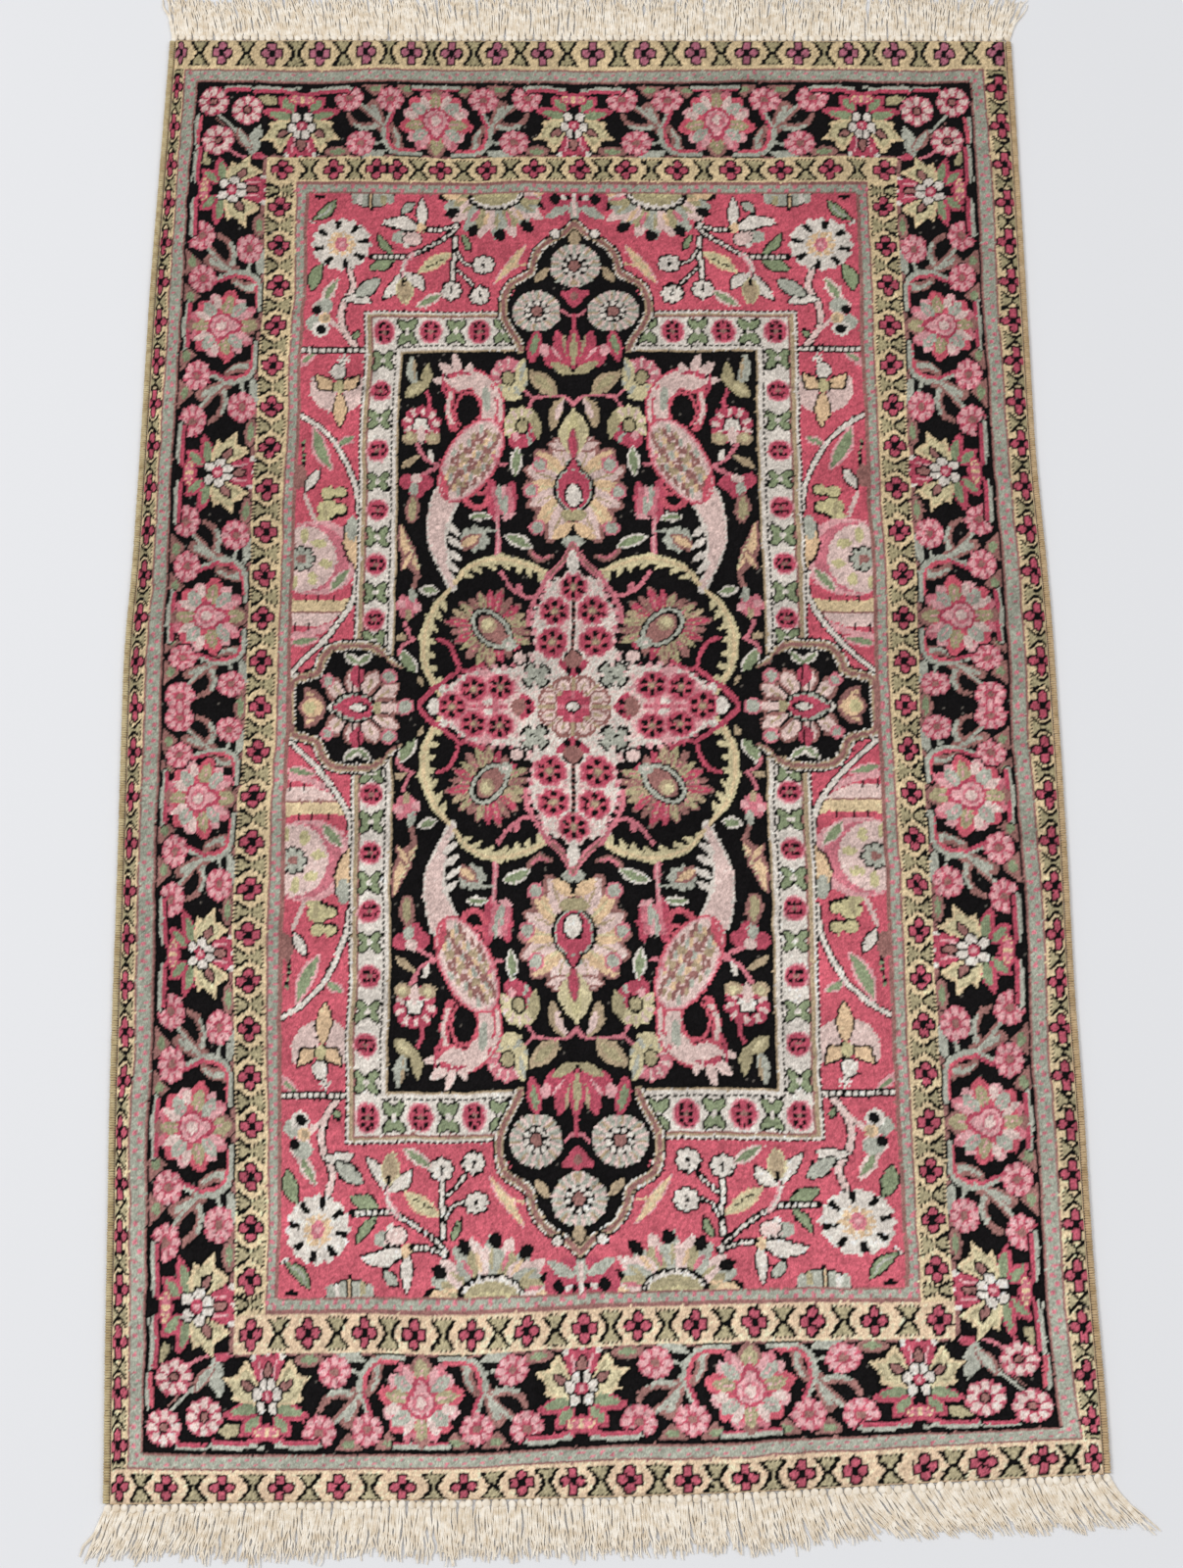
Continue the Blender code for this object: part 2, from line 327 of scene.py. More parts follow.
def rosette(p):
    """The border's great pink rosette, with a raspberry point towards the field."""
    p.line([(-26, -39), (0, -40), (26, -39)], 4, "slate")
    p.line([(-24, -36), (24, -36)], 4, "raspberry")
    for turn, far, wide, ink in (
        (180, 40, 22, "mauve"), (158, 38, 18, "pink"), (135, 38, 22, "rose"), (108, 37, 21, "light_pink"),
        (78, 41, 22, "rose"), (52, 38, 18, "light_pink"), (30, 40, 19, "pink"), (0, 44, 24, "mauve"),
    ):
        for side in (-turn, turn):
            p.petal(0, 1, side, 4, far, wide, ink, blunt=0.55)
    p.flower(0, 1, 30, 16, "rose", depth=0.06)
    p.rim()
    for turn, near, far, wide, ink in (
        (180, 12, 34, 12, "olive"), (152, 14, 34, 9, "blush"), (128, 13, 33, 13, "slate"),
        (104, 20, 34, 10, "blush"), (78, 12, 34, 12, "olive"), (46, 14, 34, 13, "slate"),
        (26, 16, 36, 8, "light_pink"), (0, 17, 40, 14, "olive"),
    ):
        for side in (-turn, turn):
            p.petal(0, 1, side, near, far, wide, ink, blunt=0.6)
            if ink in ("slate", "olive"):
                vein = [ring_point(0, 1, side, near * 1.2), ring_point(0, 1, side, far * 0.8)]
                p.line(vein, 2.1, "light_pink", ink, 5)
    p.dot(0, 0, 15, "raspberry", 14)
    p.leaf((0, 4), (0, 25), 17, "raspberry")
    p.dot(0, 0, 12, "light_pink", 11.5)
    p.leaf((0, 3), (0, 20), 11, "light_pink")
    p.dots(0, 0, (8.5, "pink", 8), (5.4, "blush", 5.4))


def border_flower(p, u, v, r, petal="light_pink"):
    """A small round flower of eight streaked petals."""
    p.flower(u, v, r, 8, "pink", depth=0.15)
    p.rays(u, v, r * 0.3, r * 0.98, 8, 0.24, "raspberry", turn=22.5)
    p.beads(u, v, r * 0.66, r * 0.20, 8, petal, long=r * 0.27)
    p.flower(u, v, r * 0.38, 8, "raspberry", depth=0.2)
    p.dot(u, v, r * 0.25, "mauve")


def half_unit(p):
    """Stems, leaves and flowers from a palmette (0) to a rosette (141); v runs to the field."""
    p.leaf((63, 44), (90, 38), 11, "slate", bend=1)
    p.leaf((25, 39), (51, 39), 13, "mauve", blunt=0.5)
    p.leaf((29, 39), (47, 39), 7, "sage")
    for u in (75, 111):
        p.shape([(u - 14, -42), (u - 4, -30), (u, -26), (u + 4, -30), (u + 14, -42)], "mauve")
        p.dot(u, -36, 5.5, "sage", 4)
    p.line([(84, 13), (80, -2), (73, -17)], 9, "mauve", end_width=11)
    p.line([(83, 10), (79, -3), (74, -14)], 4, "slate", end_width=6)
    p.line([(82, 6), (66, 9), (54, 4), (48, -6)], 10, "mauve", end_width=5)
    p.line([(78, 8), (66, 11), (56, 7)], 5.5, "slate", end_width=4)
    p.line([(100, 37), (100, 22), (94, 10)], 13, "mauve", end_width=7)
    p.line([(101, 34), (101, 22), (96, 12)], 6.5, "slate", end_width=3)
    for shift, ink in ((0, "mauve"), (3.4, "slate")):
        p.line([(86 + shift, 14), (75 + shift, 0), (62 + shift, -14), (55, -22)], 3.4, ink)
    for shift, ink in ((0, "slate"), (3.4, "raspberry")):
        p.line([(84 + shift, 12), (90 + shift, -2), (93 + shift, -14)], 3.4, ink)
    p.line([(85, 12), (87, 26), (94, 37), (106, 40), (124, 40)], 5.0, "slate")
    p.line([(89, 12), (91, 24), (97, 34), (108, 37), (124, 36.5)], 3.6, "rose")
    p.line([(86, 26), (76, 29)], 3.4, "slate")
    p.rim()
    for place in ((48, -25.5, 15.5), (61.6, 28, 15), (92, -23.5, 15)):
        border_flower(p, *place)


def corner_cluster(p):
    """The flowers that turn the border's corner; local axes are the rug's, from the corner's middle."""
    p.line([(-74, 39), (-30, 40), (8, 40)], 4.2, "slate")
    p.line([(-60, 36), (-20, 37), (8, 36)], 4.2, "raspberry")
    p.line([(38, -76), (38, -30), (37, 4)], 4.2, "slate")
    p.line([(34.5, -70), (35, -20), (33, 2)], 4.2, "rose")
    p.line([(12, -26), (-6, -40), (-22, -46), (-40, -44)], 3.4, "pink")
    p.line([(14, 6), (-2, -10), (-16, -22), (-24, -34)], 3.6, "slate")
    p.line([(17, 2), (2, -13), (-12, -25)], 2.2, "mauve")
    for leaf in (
        ((-33, -6), (-24, -46), 15, "slate", 2), ((-8, -10), (-25, -36), 13, "mauve", 2),
        ((-10, -12), (-25, -35), 8, "slate", 2), ((20, -56), (36, -34), 12, "olive"),
        ((-54, 20), (-30, 28), 11, "olive"),
    ):
        p.leaf(*leaf)
    p.dot(-31, -43, 6, "raspberry", 5)
    p.rim()
    for u, v in ((21, 22), (-18, 12), (13, -25)):
        border_flower(p, u, v, 18, petal="blush")
        p.dots(u, v, (5.6, "black"), (3.6, "mauve"))


def paint_guards(c):
    """Two cream guards with flowers and hourglasses, and two grey stripes with pink dashes."""
    for x0, x1, y0, y1 in (
        (X_STRIPE_OUT, HALF_CHART_WIDTH, Y_STRIPE_OUT, HALF_CHART_LENGTH),
        (X_STRIPE_IN, X_GUARD_IN, Y_STRIPE_IN, Y_GUARD_IN),
    ):
        c.ink[((c.x > x0) | (c.y > y0)) & (c.x < x1) & (c.y < y1)] = INK_NUMBER["cream"]
    for k in range(16):
        y = OUTER_PITCH * k
        c.stamp(guard_flower, X_OUTER, y, 24, long=1.25)
        if k < 15:
            c.stamp(guard_glass, X_OUTER, y + OUTER_PITCH / 2, 24, turn=90, tall=9.5)
    c.stamp(guard_glass, X_OUTER, 725, 24, turn=90, half=6.5, tall=9.5)
    for k in range(13):
        y = INNER_PITCH * k
        c.stamp(guard_flower, X_INNER, y, 22)
        half, gap = (11, INNER_PITCH / 2) if k < 12 else (8, 20)
        c.stamp(guard_glass, X_INNER, y + gap, 22, turn=90, half=half)
    for x0, x1, y0, y1 in (
        (X_BLACK, X_STRIPE_OUT, Y_BLACK, Y_STRIPE_OUT),
        (X_FIELD, X_STRIPE_IN, Y_FIELD, Y_STRIPE_IN),
    ):
        end = (c.y > y0) & (c.y <= y1) & (c.x < x1)
        side = (c.x > x0) & (c.x <= x1) & (c.y < y1)
        c.ink[end | side] = INK_NUMBER["stripe"]
        edge_end = end & ((c.y < y0 + 3.0) | (c.y > y1 - 3.0))
        edge_side = side & ((c.x < x0 + 3.0) | (c.x > x1 - 3.0))
        corner = (end & side) & ((c.y > y1 - 3.0) | (c.x > x1 - 3.0))
        c.ink[(edge_end & ~side) | (edge_side & ~end) | corner] = INK_NUMBER["mauve"]
        mid_x, mid_y = (x0 + x1) / 2, (y0 + y1) / 2
        for across, along, strip, last in ((c.y - mid_y, c.x, end, x1), (c.x - mid_x, c.y, side, mid_y)):
            turn = along / DASH_PITCH
            lane = np.where(np.floor(turn) % 2 == 0, -2.0, 2.0)
            dash = strip & (abs(across - lane) < 1.9) & (turn % 1 < 0.42) & (along < last)
            c.ink[dash] = INK_NUMBER["pink"]


# Where the flowers of the end guards stand across the real rug, in millimetres from its middle.
OUTER_FAR = (-449, -400, -347, -296, -245, -196, -152, -104, -55, 0, 55, 110, 167, 222, 276, 325, 379, 437)
INNER_FAR = (-331, -276, -231, -209, -164, -115, -65, -16, 33, 88, 145, 198, 251, 309)
INNER_NEAR = (-325, -272, -220, -174, -122, -72, -20, 29, 83, 137, 190, 248, 307)
OUTER_NEAR = (-440, -396, -346, -295, -241, -184, -129, -77, -31, 20, 73, 125, 175, 225, 289, 339, 395, 444)


def paint_end_guard(c, places, middle, low, high, reach, tall, petal, ground):
    """Flowers at these places of the chart along one end, with an hourglass in each wide gap."""
    c.ink[(c.y > low) & (c.y < high) & (abs(c.x) < reach)] = INK_NUMBER[ground]
    for x in places:
        c.stamp(guard_flower, x, middle, 22, petal=petal, long=tall / 12)
    for a, b in zip(places[:-1], places[1:]):
        if b - a > 30:
            half = min(10.5, (b - a) / 2 - 13)
            c.stamp(guard_glass, (a + b) / 2, middle, 22, tall=tall, half=half)


def paint_border(c):
    """The black main border with its turning run of palmettes, rosettes and small flowers."""
    c.fill(X_GUARD_IN, X_BLACK, 0, Y_BLACK, "black")
    c.fill(0, X_BLACK, Y_GUARD_IN, Y_BLACK, "black")
    c.fill(X_GUARD_IN, X_GUARD_IN + 2.6, 0, Y_GUARD_IN + 2.6, "mauve")
    c.fill(0, X_GUARD_IN + 2.6, Y_GUARD_IN, Y_GUARD_IN + 2.6, "mauve")
    end = (0, X_BLACK, Y_GUARD_IN, Y_BLACK)
    side = (X_GUARD_IN, X_BLACK, 0, Y_BLACK)
    near_middle = (X_GUARD_IN, X_BLACK, 0, 90)
    corner = (300, X_BLACK, 585, Y_BLACK)
    for start, mirror in ((0, True), (299, False)):
        c.stamp(half_unit, start, Y_BORDER, 165, turn=180, mirror=mirror, stretch=(1.064, 1.0), inside=end)
    for start, mirror, span in ((252, False, 168), (252, True, 157), (581, True, 161)):
        stretch = (span / 141, 0.93)
        c.stamp(half_unit, X_BORDER, start, 180, turn=90, mirror=mirror, stretch=stretch, inside=side)
    c.stamp(half_unit, X_BORDER, -32, 175, turn=90, stretch=(0.9, 0.93), inside=near_middle)
    c.stamp(corner_cluster, X_BORDER, Y_BORDER, 80, inside=corner)
    for x, motif in ((0, palmette), (299, palmette), (150, rosette)):
        c.stamp(motif, x, Y_BORDER, 60, turn=180, inside=end)
    for y, motif in ((581, palmette), (252, palmette), (420, rosette), (95, rosette)):
        c.stamp(motif, X_BORDER, y, 60, turn=90, stretch=(1.05, 0.93), inside=side)


def small_flower(p, u, v):
    """Eight pale petals, edged in black, with a dark slit in the middle."""
    p.flower(u, v, 13, 8, "black", depth=0.12)
    p.flower(u, v, 11, 8, "ivory", depth=0.26)
    p.dot(u, v, 2.0, "black", 3.4)
    p.dot(u, v + 4.5, 1.2, "black")


def edged_leaf(p, start, end, width, ink, edge="black", bend=0.0, vein=None, rim=1.9):
    """A leaf with an edge of another colour."""
    (u0, v0), (u1, v1) = start, end
    n = math.hypot(u1 - u0, v1 - v0)
    a, b = (u1 - u0) / n * rim, (v1 - v0) / n * rim
    p.leaf((u0 - a, v0 - b), (u1 + a, v1 + b), width + 2 * rim, edge, bend=bend)
    p.leaf(start, end, width, ink, bend=bend)
    if vein:
        p.leaf((u0 + a * 2, v0 + b * 2), (u1 - a * 2, v1 - b * 2), width * 0.3, vein, bend=bend)


def field_corner(p):
    """The far corner of the rose field: daisy, blossom, stems and small flowers."""
    # daisy
    daisy = (-265.6, 506)
    p.flower(*daisy, 32, 16, "ivory", depth=0.10)
    p.rays(*daisy, 18, 29, 8, 0.30, "black", turn=-10)
    p.flower(*daisy, 18, 8, "ivory", depth=0.1)
    p.flower(*daisy, 15.5, 8, "peach", depth=0.15, turn=10)
    p.rays(*daisy, 7, 15, 8, 0.22, "ivory", turn=12)
    p.dots(*daisy, (6.5, "pink", 8.5), (3, "light_pink"))
    # leaves about it
    edged_leaf(p, (-297, 535), (-273, 560), 10, "sage", bend=-3, vein="slate")
    edged_leaf(p, (-296, 452), (-286, 483), 13, "sage", bend=2)
    edged_leaf(p, (-234, 476), (-207, 489), 14, "sage")
    edged_leaf(p, (-227, 518), (-209, 495), 8, "sage", bend=-2)
    p.line([(-301, 536), (-294, 531)], 3, "ivory", "black", 4)
    # grey half flower at the stripe
    p.dots(-234, 572, (25, "black", 22), (23.5, "slate", 20))
    for k in (-18, -7, 7, 18):
        p.dot(-234 + k, 558 + abs(k) * 0.25, 5, "slate", 7)
    p.dot(-222, 560, 3.5, "olive", 6)
    p.dot(-247, 561, 3.0, "ivory", 6)
    p.line([(-236, 566), (-235, 549)], 5, "black")
    p.line([(-236, 566), (-235, 551)], 2.4, "peach")
    # blossom like a bird
    edged_leaf(p, (-201, 545), (-190, 558), 9, "slate")
    p.shape([(-226, 529), (-217, 539), (-198, 543), (-186, 535), (-180, 523), (-198, 522),
             (-212, 526)], "black")
    p.shape([(-224, 530.5), (-216, 537.5), (-198, 541), (-188, 533), (-182, 524.5), (-198, 524.5),
             (-210, 528)], "ivory")
    edged_leaf(p, (-180, 525), (-181, 563), 9.5, "ivory")
    p.dot(-204, 515, 8, "slate", 7)
    p.dots(-190, 513, (11, "black", 9), (9.5, "blush", 8))
    p.line([(-200, 520), (-186, 522)], 2.2, "black", "blush", 5)
    p.dot(-196, 505, 3.5, "ivory", 3)
    p.dot(-181, 526, 4.5, "peach", 6)
    # stems
    stem = [(-233, 491.5), (-200, 491.5), (-188, 495), (-170, 506), (-152, 519), (-143, 530)]
    branch = [(-175, 524), (-160, 525), (-146, 530)]
    for ink, width in (("black", 7.5), ("ivory", 3.6)):
        p.line(stem, width, ink, "black", 6)
        p.line(branch, width, ink, "black", 5)
    p.line([(-190, 494), (-197, 482), (-199, 468)], 6, "light_pink")
    p.line([(-191, 494), (-198, 482), (-200, 470)], 2.2, "ivory")
    # tulip
    edged_leaf(p, (-201, 471), (-220, 440), 11, "ivory", bend=3)
    edged_leaf(p, (-197, 472), (-177, 452), 12, "ivory", bend=3)
    edged_leaf(p, (-198, 466), (-195, 436), 14, "tan", edge="gold")
    p.dot(-198, 461, 2.2, "black", 5)
    # gold leaf
    edged_leaf(p, (-183, 473), (-150, 497), 12, "gold", edge="peach", bend=1)
    p.line([(-176, 478), (-158, 490)], 2.2, "black", "gold", 5)
    # upright stem and three small flowers
    p.strokes([(-145.5, 515), (-147, 490), (-148, 464)], (8, "black"), (4, "ivory"))
    for path in ([(-145, 500), (-136, 486), (-124, 482)], [(-144, 478), (-136, 470), (-127, 459)]):
        p.strokes(path, (6.5, "black"), (2.4, "ivory", "black", 4.5))
    edged_leaf(p, (-138, 518), (-130, 500), 6, "sage")
    for place in ((-149, 452), (-116, 483), (-119, 447)):
        small_flower(p, *place)
    # peach leaf and a haloed leaf
    edged_leaf(p, (-104, 460), (-71, 505), 8, "peach", edge="light_pink", rim=1.4)
    p.line([(-90, 479), (-73, 483)], 3, "peach")
    p.line([(-98, 468), (-80, 493)], 2.2, "gold", "peach", 5)
    edged_leaf(p, (-183, 433), (-160, 449), 7, "sage", edge="blush", rim=2.6)
    # the pale stem to the near corner of this field
    pale_stem = [(-256, 474), (-252, 455), (-261, 436), (-263, 418), (-259, 403), (-247, 384)]
    p.strokes(pale_stem, (8.5, "black"), (5.5, "blush"))
    p.line([(-275, 417), (-268, 411), (-258, 402)], 5.5, "blush")
    edged_leaf(p, (-262, 441), (-231, 438), 10, "ivory", bend=2)
    edged_leaf(p, (-249, 445), (-223, 464), 15, "slate")
    edged_leaf(p, (-251, 397), (-246, 405), 6, "sage")
    edged_leaf(p, (-283, 438), (-269, 464), 7, "sage", edge="blush", rim=3, bend=1)
    for spot in (
        (-283, 432, 11, "blush", 10), (-281, 434, 9, "slate", 8), (-291, 414, 8.5, "slate", 9),
        (-284, 407, 9, "ivory", 9), (-280, 419, 6.5, "peach", 6), (-279, 419, 3.5, "tan", 4),
        (-289, 429, 5, "black", 6), (-283, 406, 4.8, "black", 5),
    ):
        p.dot(*spot)
    p.strokes([(-305, 383.5), (-236, 383.5)], (8, "black"), (4, "ivory", "black", 6.5))
    p.dot(-290, 563, 5.5, "black", 3)


def field_palmette(p):
    """The half palmette that grows from the stripe, and the small half flower on the middle line."""
    heart = (-102, 570)
    for r, inks, count in ((60, ("blush", "slate"), 11), (49, ("slate", "olive", "blush"), 12)):
        for k, turn in enumerate(np.linspace(-88, 88, count)):
            start, end = ring_point(*heart, turn, 18, -12), ring_point(*heart, turn, r, -r * 0.97)
            p.leaf(start, end, 16, inks[k % len(inks)], blunt=0.6)
    for turn in (-84, -62, -28, 4, 36, 70):
        p.leaf(ring_point(*heart, turn, 45, -45), ring_point(*heart, turn, 63, -61), 12, "black")
    for k, turn in enumerate(np.linspace(-76, 76, 9)):
        ink = ("peach", "olive", "pink")[k % 3]
        p.leaf(ring_point(*heart, turn, 28, -26), ring_point(*heart, turn, 47, -47), 4.5, ink)
    p.dot(-150, 570, 10, "peach", 9)
    p.dot(-56, 572, 10, "peach", 8)
    p.dots(-104, 568, (31, "black", 22), (28.5, "ivory", 19.5))
    p.beads(-104, 568, 26.5, 1.8, 22, "black", squash=0.72)
    p.dot(-104, 568, 24.5, "olive", 14.5)
    p.dot(-104, 572, 22, "cream_olive", 9)
    p.rays(-104, 568, 0, 20, 16, 0.25, "olive", squash=0.6)
    # middle line: grey petals on raspberry
    p.dot(-22, 560, 33, "raspberry", 27)
    for start, end, width, ink in (
        ((-22, 562), (-22, 532), 11, "slate"), ((-27, 552), (-52, 537), 11, "slate"),
        ((-17, 552), (8, 537), 11, "slate"), ((-22, 562), (-22, 535), 4, "blush"),
    ):
        p.leaf(start, end, width, ink)
    for k in range(-4, 5):
        p.dot(-22 + 5.6 * k, 563 - abs(k) * 0.6, 3.0, "black" if k % 2 else "ivory", 3.6)
    p.dot(-42, 560, 5, "black", 7)


def trefoil(p):
    """The three-lobed black head over the panel, with its grey rosettes and raspberry heart."""
    edge = [(-22, 531), (-32, 520), (-46, 511), (-57, 501), (-63, 488), (-66, 474), (-76, 466), (-87, 459),
            (-93, 446), (-95, 430), (-91, 412), (-82, 396), (-76, 380)]
    p.strokes(edge, (12.5, "black"), (9.5, "ivory", "black", 4.2), (6.5, "tan"), (3.8, "mauve"))
    p.shape([(-22, 525), (-31, 515), (-44, 506), (-53, 498), (-58.5, 486), (-61, 471), (-73, 462), (-82, 455),
             (-87.5, 444), (-89.5, 430), (-86, 413), (-77, 398), (-71, 382), (-71, 360), (-10, 360),
             (-10, 525)], "black")
    p.dot(-42, 518, 6.5, "black")
    p.dot(-42, 519, 4.8, "ivory", 4.5)
    p.leaf((-22, 522), (-22, 504), 11, "tan")
    p.leaf((-48, 480), (-62, 462), 9, "tan")
    for u, v in ((-22, 482), (-60, 427)):
        p.flower(u, v, 25, 16, "slate", depth=0.11)
        p.rays(u, v, 13, 25, 16, 0.42, "blush", turn=11)
        p.rays(u, v, 15, 24, 8, 0.16, "tan", turn=5)
        p.dot(u, v, 13.5, "black")
        p.beads(u, v, 10.2, 2.6, 9, "ivory", long=2.9)
        p.dots(u, v, (6.2, "black"), (5.2, "mauve", 6.2))
    p.shape([(-22, 458), (-28, 452), (-35, 453), (-36, 447), (-28, 438), (-22, 430), (-16, 438), (-8, 447),
             (-9, 453), (-16, 452)], "raspberry")
    p.dot(-22, 445, 3.5, "mauve", 5)
    p.line([(-33, 428), (-28, 423), (-22, 421), (-16, 423), (-11, 428)], 3.2, "pink")
    p.line([(-22, 422), (-22, 404)], 4.2, "raspberry")
    p.leaf((-59, 404), (-66, 366), 15, "raspberry")
    p.leaf((-60, 400), (-65, 374), 7.5, "sage")
    # fan palmette
    for k in (-1, 1):
        p.leaf((-22 + 4 * k, 362), (-22 + 30 * k, 385), 22, "raspberry", bend=-4 * k)
        p.leaf((-22 + 4 * k, 360), (-22 + 18 * k, 404), 18, "raspberry", bend=-2 * k)
        p.dot(-22 + 30 * k, 380, 5, "light_pink", 7)
        p.leaf((-22 + 7 * k, 372), (-22 + 11 * k, 397), 4, "tan")
        p.leaf((-22 + 12 * k, 368), (-22 + 24 * k, 386), 4, "light_pink")
    p.leaf((-22, 356), (-22, 408), 15, "raspberry")
    p.leaf((-22, 360), (-22, 402), 7, "olive")
    for u in (-46, 2):
        p.leaf((-22, 352), (u, 366), 10, "olive")


def frame_flower(p):
    """An oval bloom with six dark spots."""
    p.dots(0, 0, (13.4, "light_pink", 15.4), (12, "pink", 14), (11, "raspberry", 13))
    for s in (-1, 1):
        for k in (-1, 0, 1):
            p.dot(s * 4.6, k * 7.0, 2.4, "black", 2.8)
    p.dot(0, 0, 2.4, "mauve", 3.4)
    p.dot(0, 10.5, 1.8, "black", 2.4)


def frame_leaves(p):
    """Four green leaves in a cross."""
    for s in (-1, 1):
        for t in (-1, 1):
            p.leaf((0, 0), (s * 10, t * 14.5), 9, "sage", bend=s * t * 1.2)
    p.rim()
    p.dot(0, 0, 2.8, "ivory", 4)
    for s in (-1, 1):
        p.dot(s * 4.4, 0, 1.8, "black", 2.4)


def paint_frame(c):
    """The white frame about the panel, with its blooms and green leaves."""
    for x, y, ink in (
        (226, 437.5, "black"), (224, 435.5, "ivory"), (221.5, 433, "tan"), (218.5, 430, "mauve"),
        (216.5, 428, "ivory"), (191.5, 396, "black"), (189.5, 394, "ivory"), (186, 390.5, "tan"),
        (183.5, 388, "black"),
    ):
        c.fill(0, x, 0, y, ink)
    for x, y in ((226, 437.5), (191.5, 396)):
        end = (c.x < x) & (c.y < y) & (c.y > y - 2.1) & ((c.x / FRAME_DASH) % 1 < 0.34)
        side = (c.x < x) & (c.x > x - 2.1) & (c.y < y - 2) & ((c.y / FRAME_DASH) % 1 < 0.34)
        c.ink[end | side] = INK_NUMBER["ivory"]
    for k in range(4):
        if k < 3:
            c.stamp(frame_flower, 203 - FRAME_PITCH * k, Y_FRAME, 20, stretch=(0.95, 0.98))
        c.stamp(frame_leaves, 177 - FRAME_PITCH * k, Y_FRAME, 20, stretch=(0.95, 0.95))
    for y in (344, 277, 212, 152, 92):
        c.stamp(frame_flower, X_FRAME, y, 20, turn=90, stretch=(0.92, 0.80))
    for y in (380, 311, 243, 182, 121, 70):
        c.stamp(frame_leaves, X_FRAME, y, 22, turn=90, stretch=(1.0, 0.76))


def spandrel(p):
    """The tall field beside the panel: peach blossom, leaves, a half flower and a curling stem."""
    # blossom
    p.line([(-263, 373), (-268, 362)], 2.4, "black")
    p.rays(-263, 373, 0, 6, 6, 0.6, "ivory")
    p.leaf((-292, 352), (-272, 312), 24, "blush", blunt=0.5)
    p.leaf((-243, 352), (-258, 312), 22, "blush", blunt=0.5)
    for s, side in ((-1, -292), (1, -245)):
        p.shape([(side, 357), (-268 + s * 5, 350), (-268 + s * 3, 334), (side - s * 3, 337)], "black")
        inner = [(side - s * 2.5, 354), (-268 + s * 6, 347.5), (-268 + s * 5, 337), (side - s * 5, 339)]
        p.shape(inner, "peach")
    edged_leaf(p, (-266, 334), (-264, 294), 13, "peach")
    p.dots(-268, 358, (8.5, "black", 10), (7, "ivory", 8.5))
    p.dot(-267, 341, 5, "cream_olive", 7.5)
    # curling stem and leaves
    p.leaf((-305, 362), (-288, 380), 9, "light_pink", bend=3)
    p.leaf((-304, 366), (-291, 378), 4, "sage", bend=2)
    stem = [(-304, 307), (-289, 297), (-271, 280), (-261, 263), (-252, 243), (-246, 224), (-243, 200)]
    p.strokes(stem, (7.5, "black"), (4.6, "ivory"))
    edged_leaf(p, (-291, 292), (-272, 248), 11, "sage", edge="light_pink", rim=3, bend=-2)
    edged_leaf(p, (-264, 275), (-249, 283), 6.5, "sage", edge="light_pink", rim=2)
    p.line([(-301, 278), (-299, 252)], 3.4, "black", "sage", 7)
    p.dot(-302, 238, 7, "mauve", 13)
    edged_leaf(p, (-283, 247), (-296, 222), 9, "ivory")
    p.line([(-296, 218), (-291, 204), (-283, 184)], 4.4, "blush")
    berries = ((-274, 221, 6.5), (-262, 222, 6), (-273, 203, 10), (-262, 203, 6), (-279, 190, 7))
    for u, v, r in berries:
        p.dot(u + 1.6, v - 1, r + 1.6, "black")
    for berry in berries:
        p.dot(*berry, "cream_olive")
    p.leaf((-276, 212), (-274, 190), 5, "olive")
    # half flower
    p.dot(-284, 150, 44, "light_pink", 41)
    p.dot(-292, 150, 41, "pink", 37)
    p.dot(-298, 149, 34, "blush", 36)
    for u, v, r, long in (
        (-295, 174, 4.5, 8), (-280, 165, 7, 5), (-274, 144, 6.5, 4.5), (-287, 127, 5, 7), (-304, 124, 3, 7),
    ):
        p.dot(u, v, r, "cream_olive", long)
    p.flower(-298, 149, 15, 8, "black", depth=0.18)
    p.flower(-298, 149, 13, 8, "slate", depth=0.28)
    p.dot(-298, 149, 5, "mauve")
    # slivers by the frame
    p.shape([(-257, 186), (-243, 192), (-241, 126), (-246, 140), (-254, 148), (-259, 165)], "black")
    p.shape([(-255, 185), (-243, 190), (-242, 130), (-246, 143), (-252, 150), (-257, 166)], "peach")
    p.dot(-249, 182, 6, "slate", 13)
    edged_leaf(p, (-252, 137), (-269, 115), 8, "sage", edge="blush", rim=2.2)
    # pale band and the lower stem
    p.shape([(-305, 76), (-280, 76), (-262, 84), (-250, 96), (-246, 108), (-262, 103), (-305, 105)], "cream")
    p.shape([(-305, 75), (-280, 75), (-264, 82), (-255, 91), (-305, 91)], "blush")
    p.line([(-305, 91), (-256, 91)], 2.4, "mauve")
    for places, high, low in (((-293, -281, -265), 109, 103), ((-302, -289), 78, 71)):
        for u in places:
            p.line([(u, high), (u, low)], 2.2, "black")
    p.line([(-305, 64), (-286, 68), (-262, 78)], 7, "light_pink")
    stem = [(-243, 134), (-244, 112), (-252, 91), (-266, 69), (-283, 49), (-306, 24)]
    p.strokes(stem, (7.5, "black"), (4.6, "ivory"))
    edged_leaf(p, (-304, 56), (-279, 63), 7, "sage", edge="light_pink", rim=2.4)


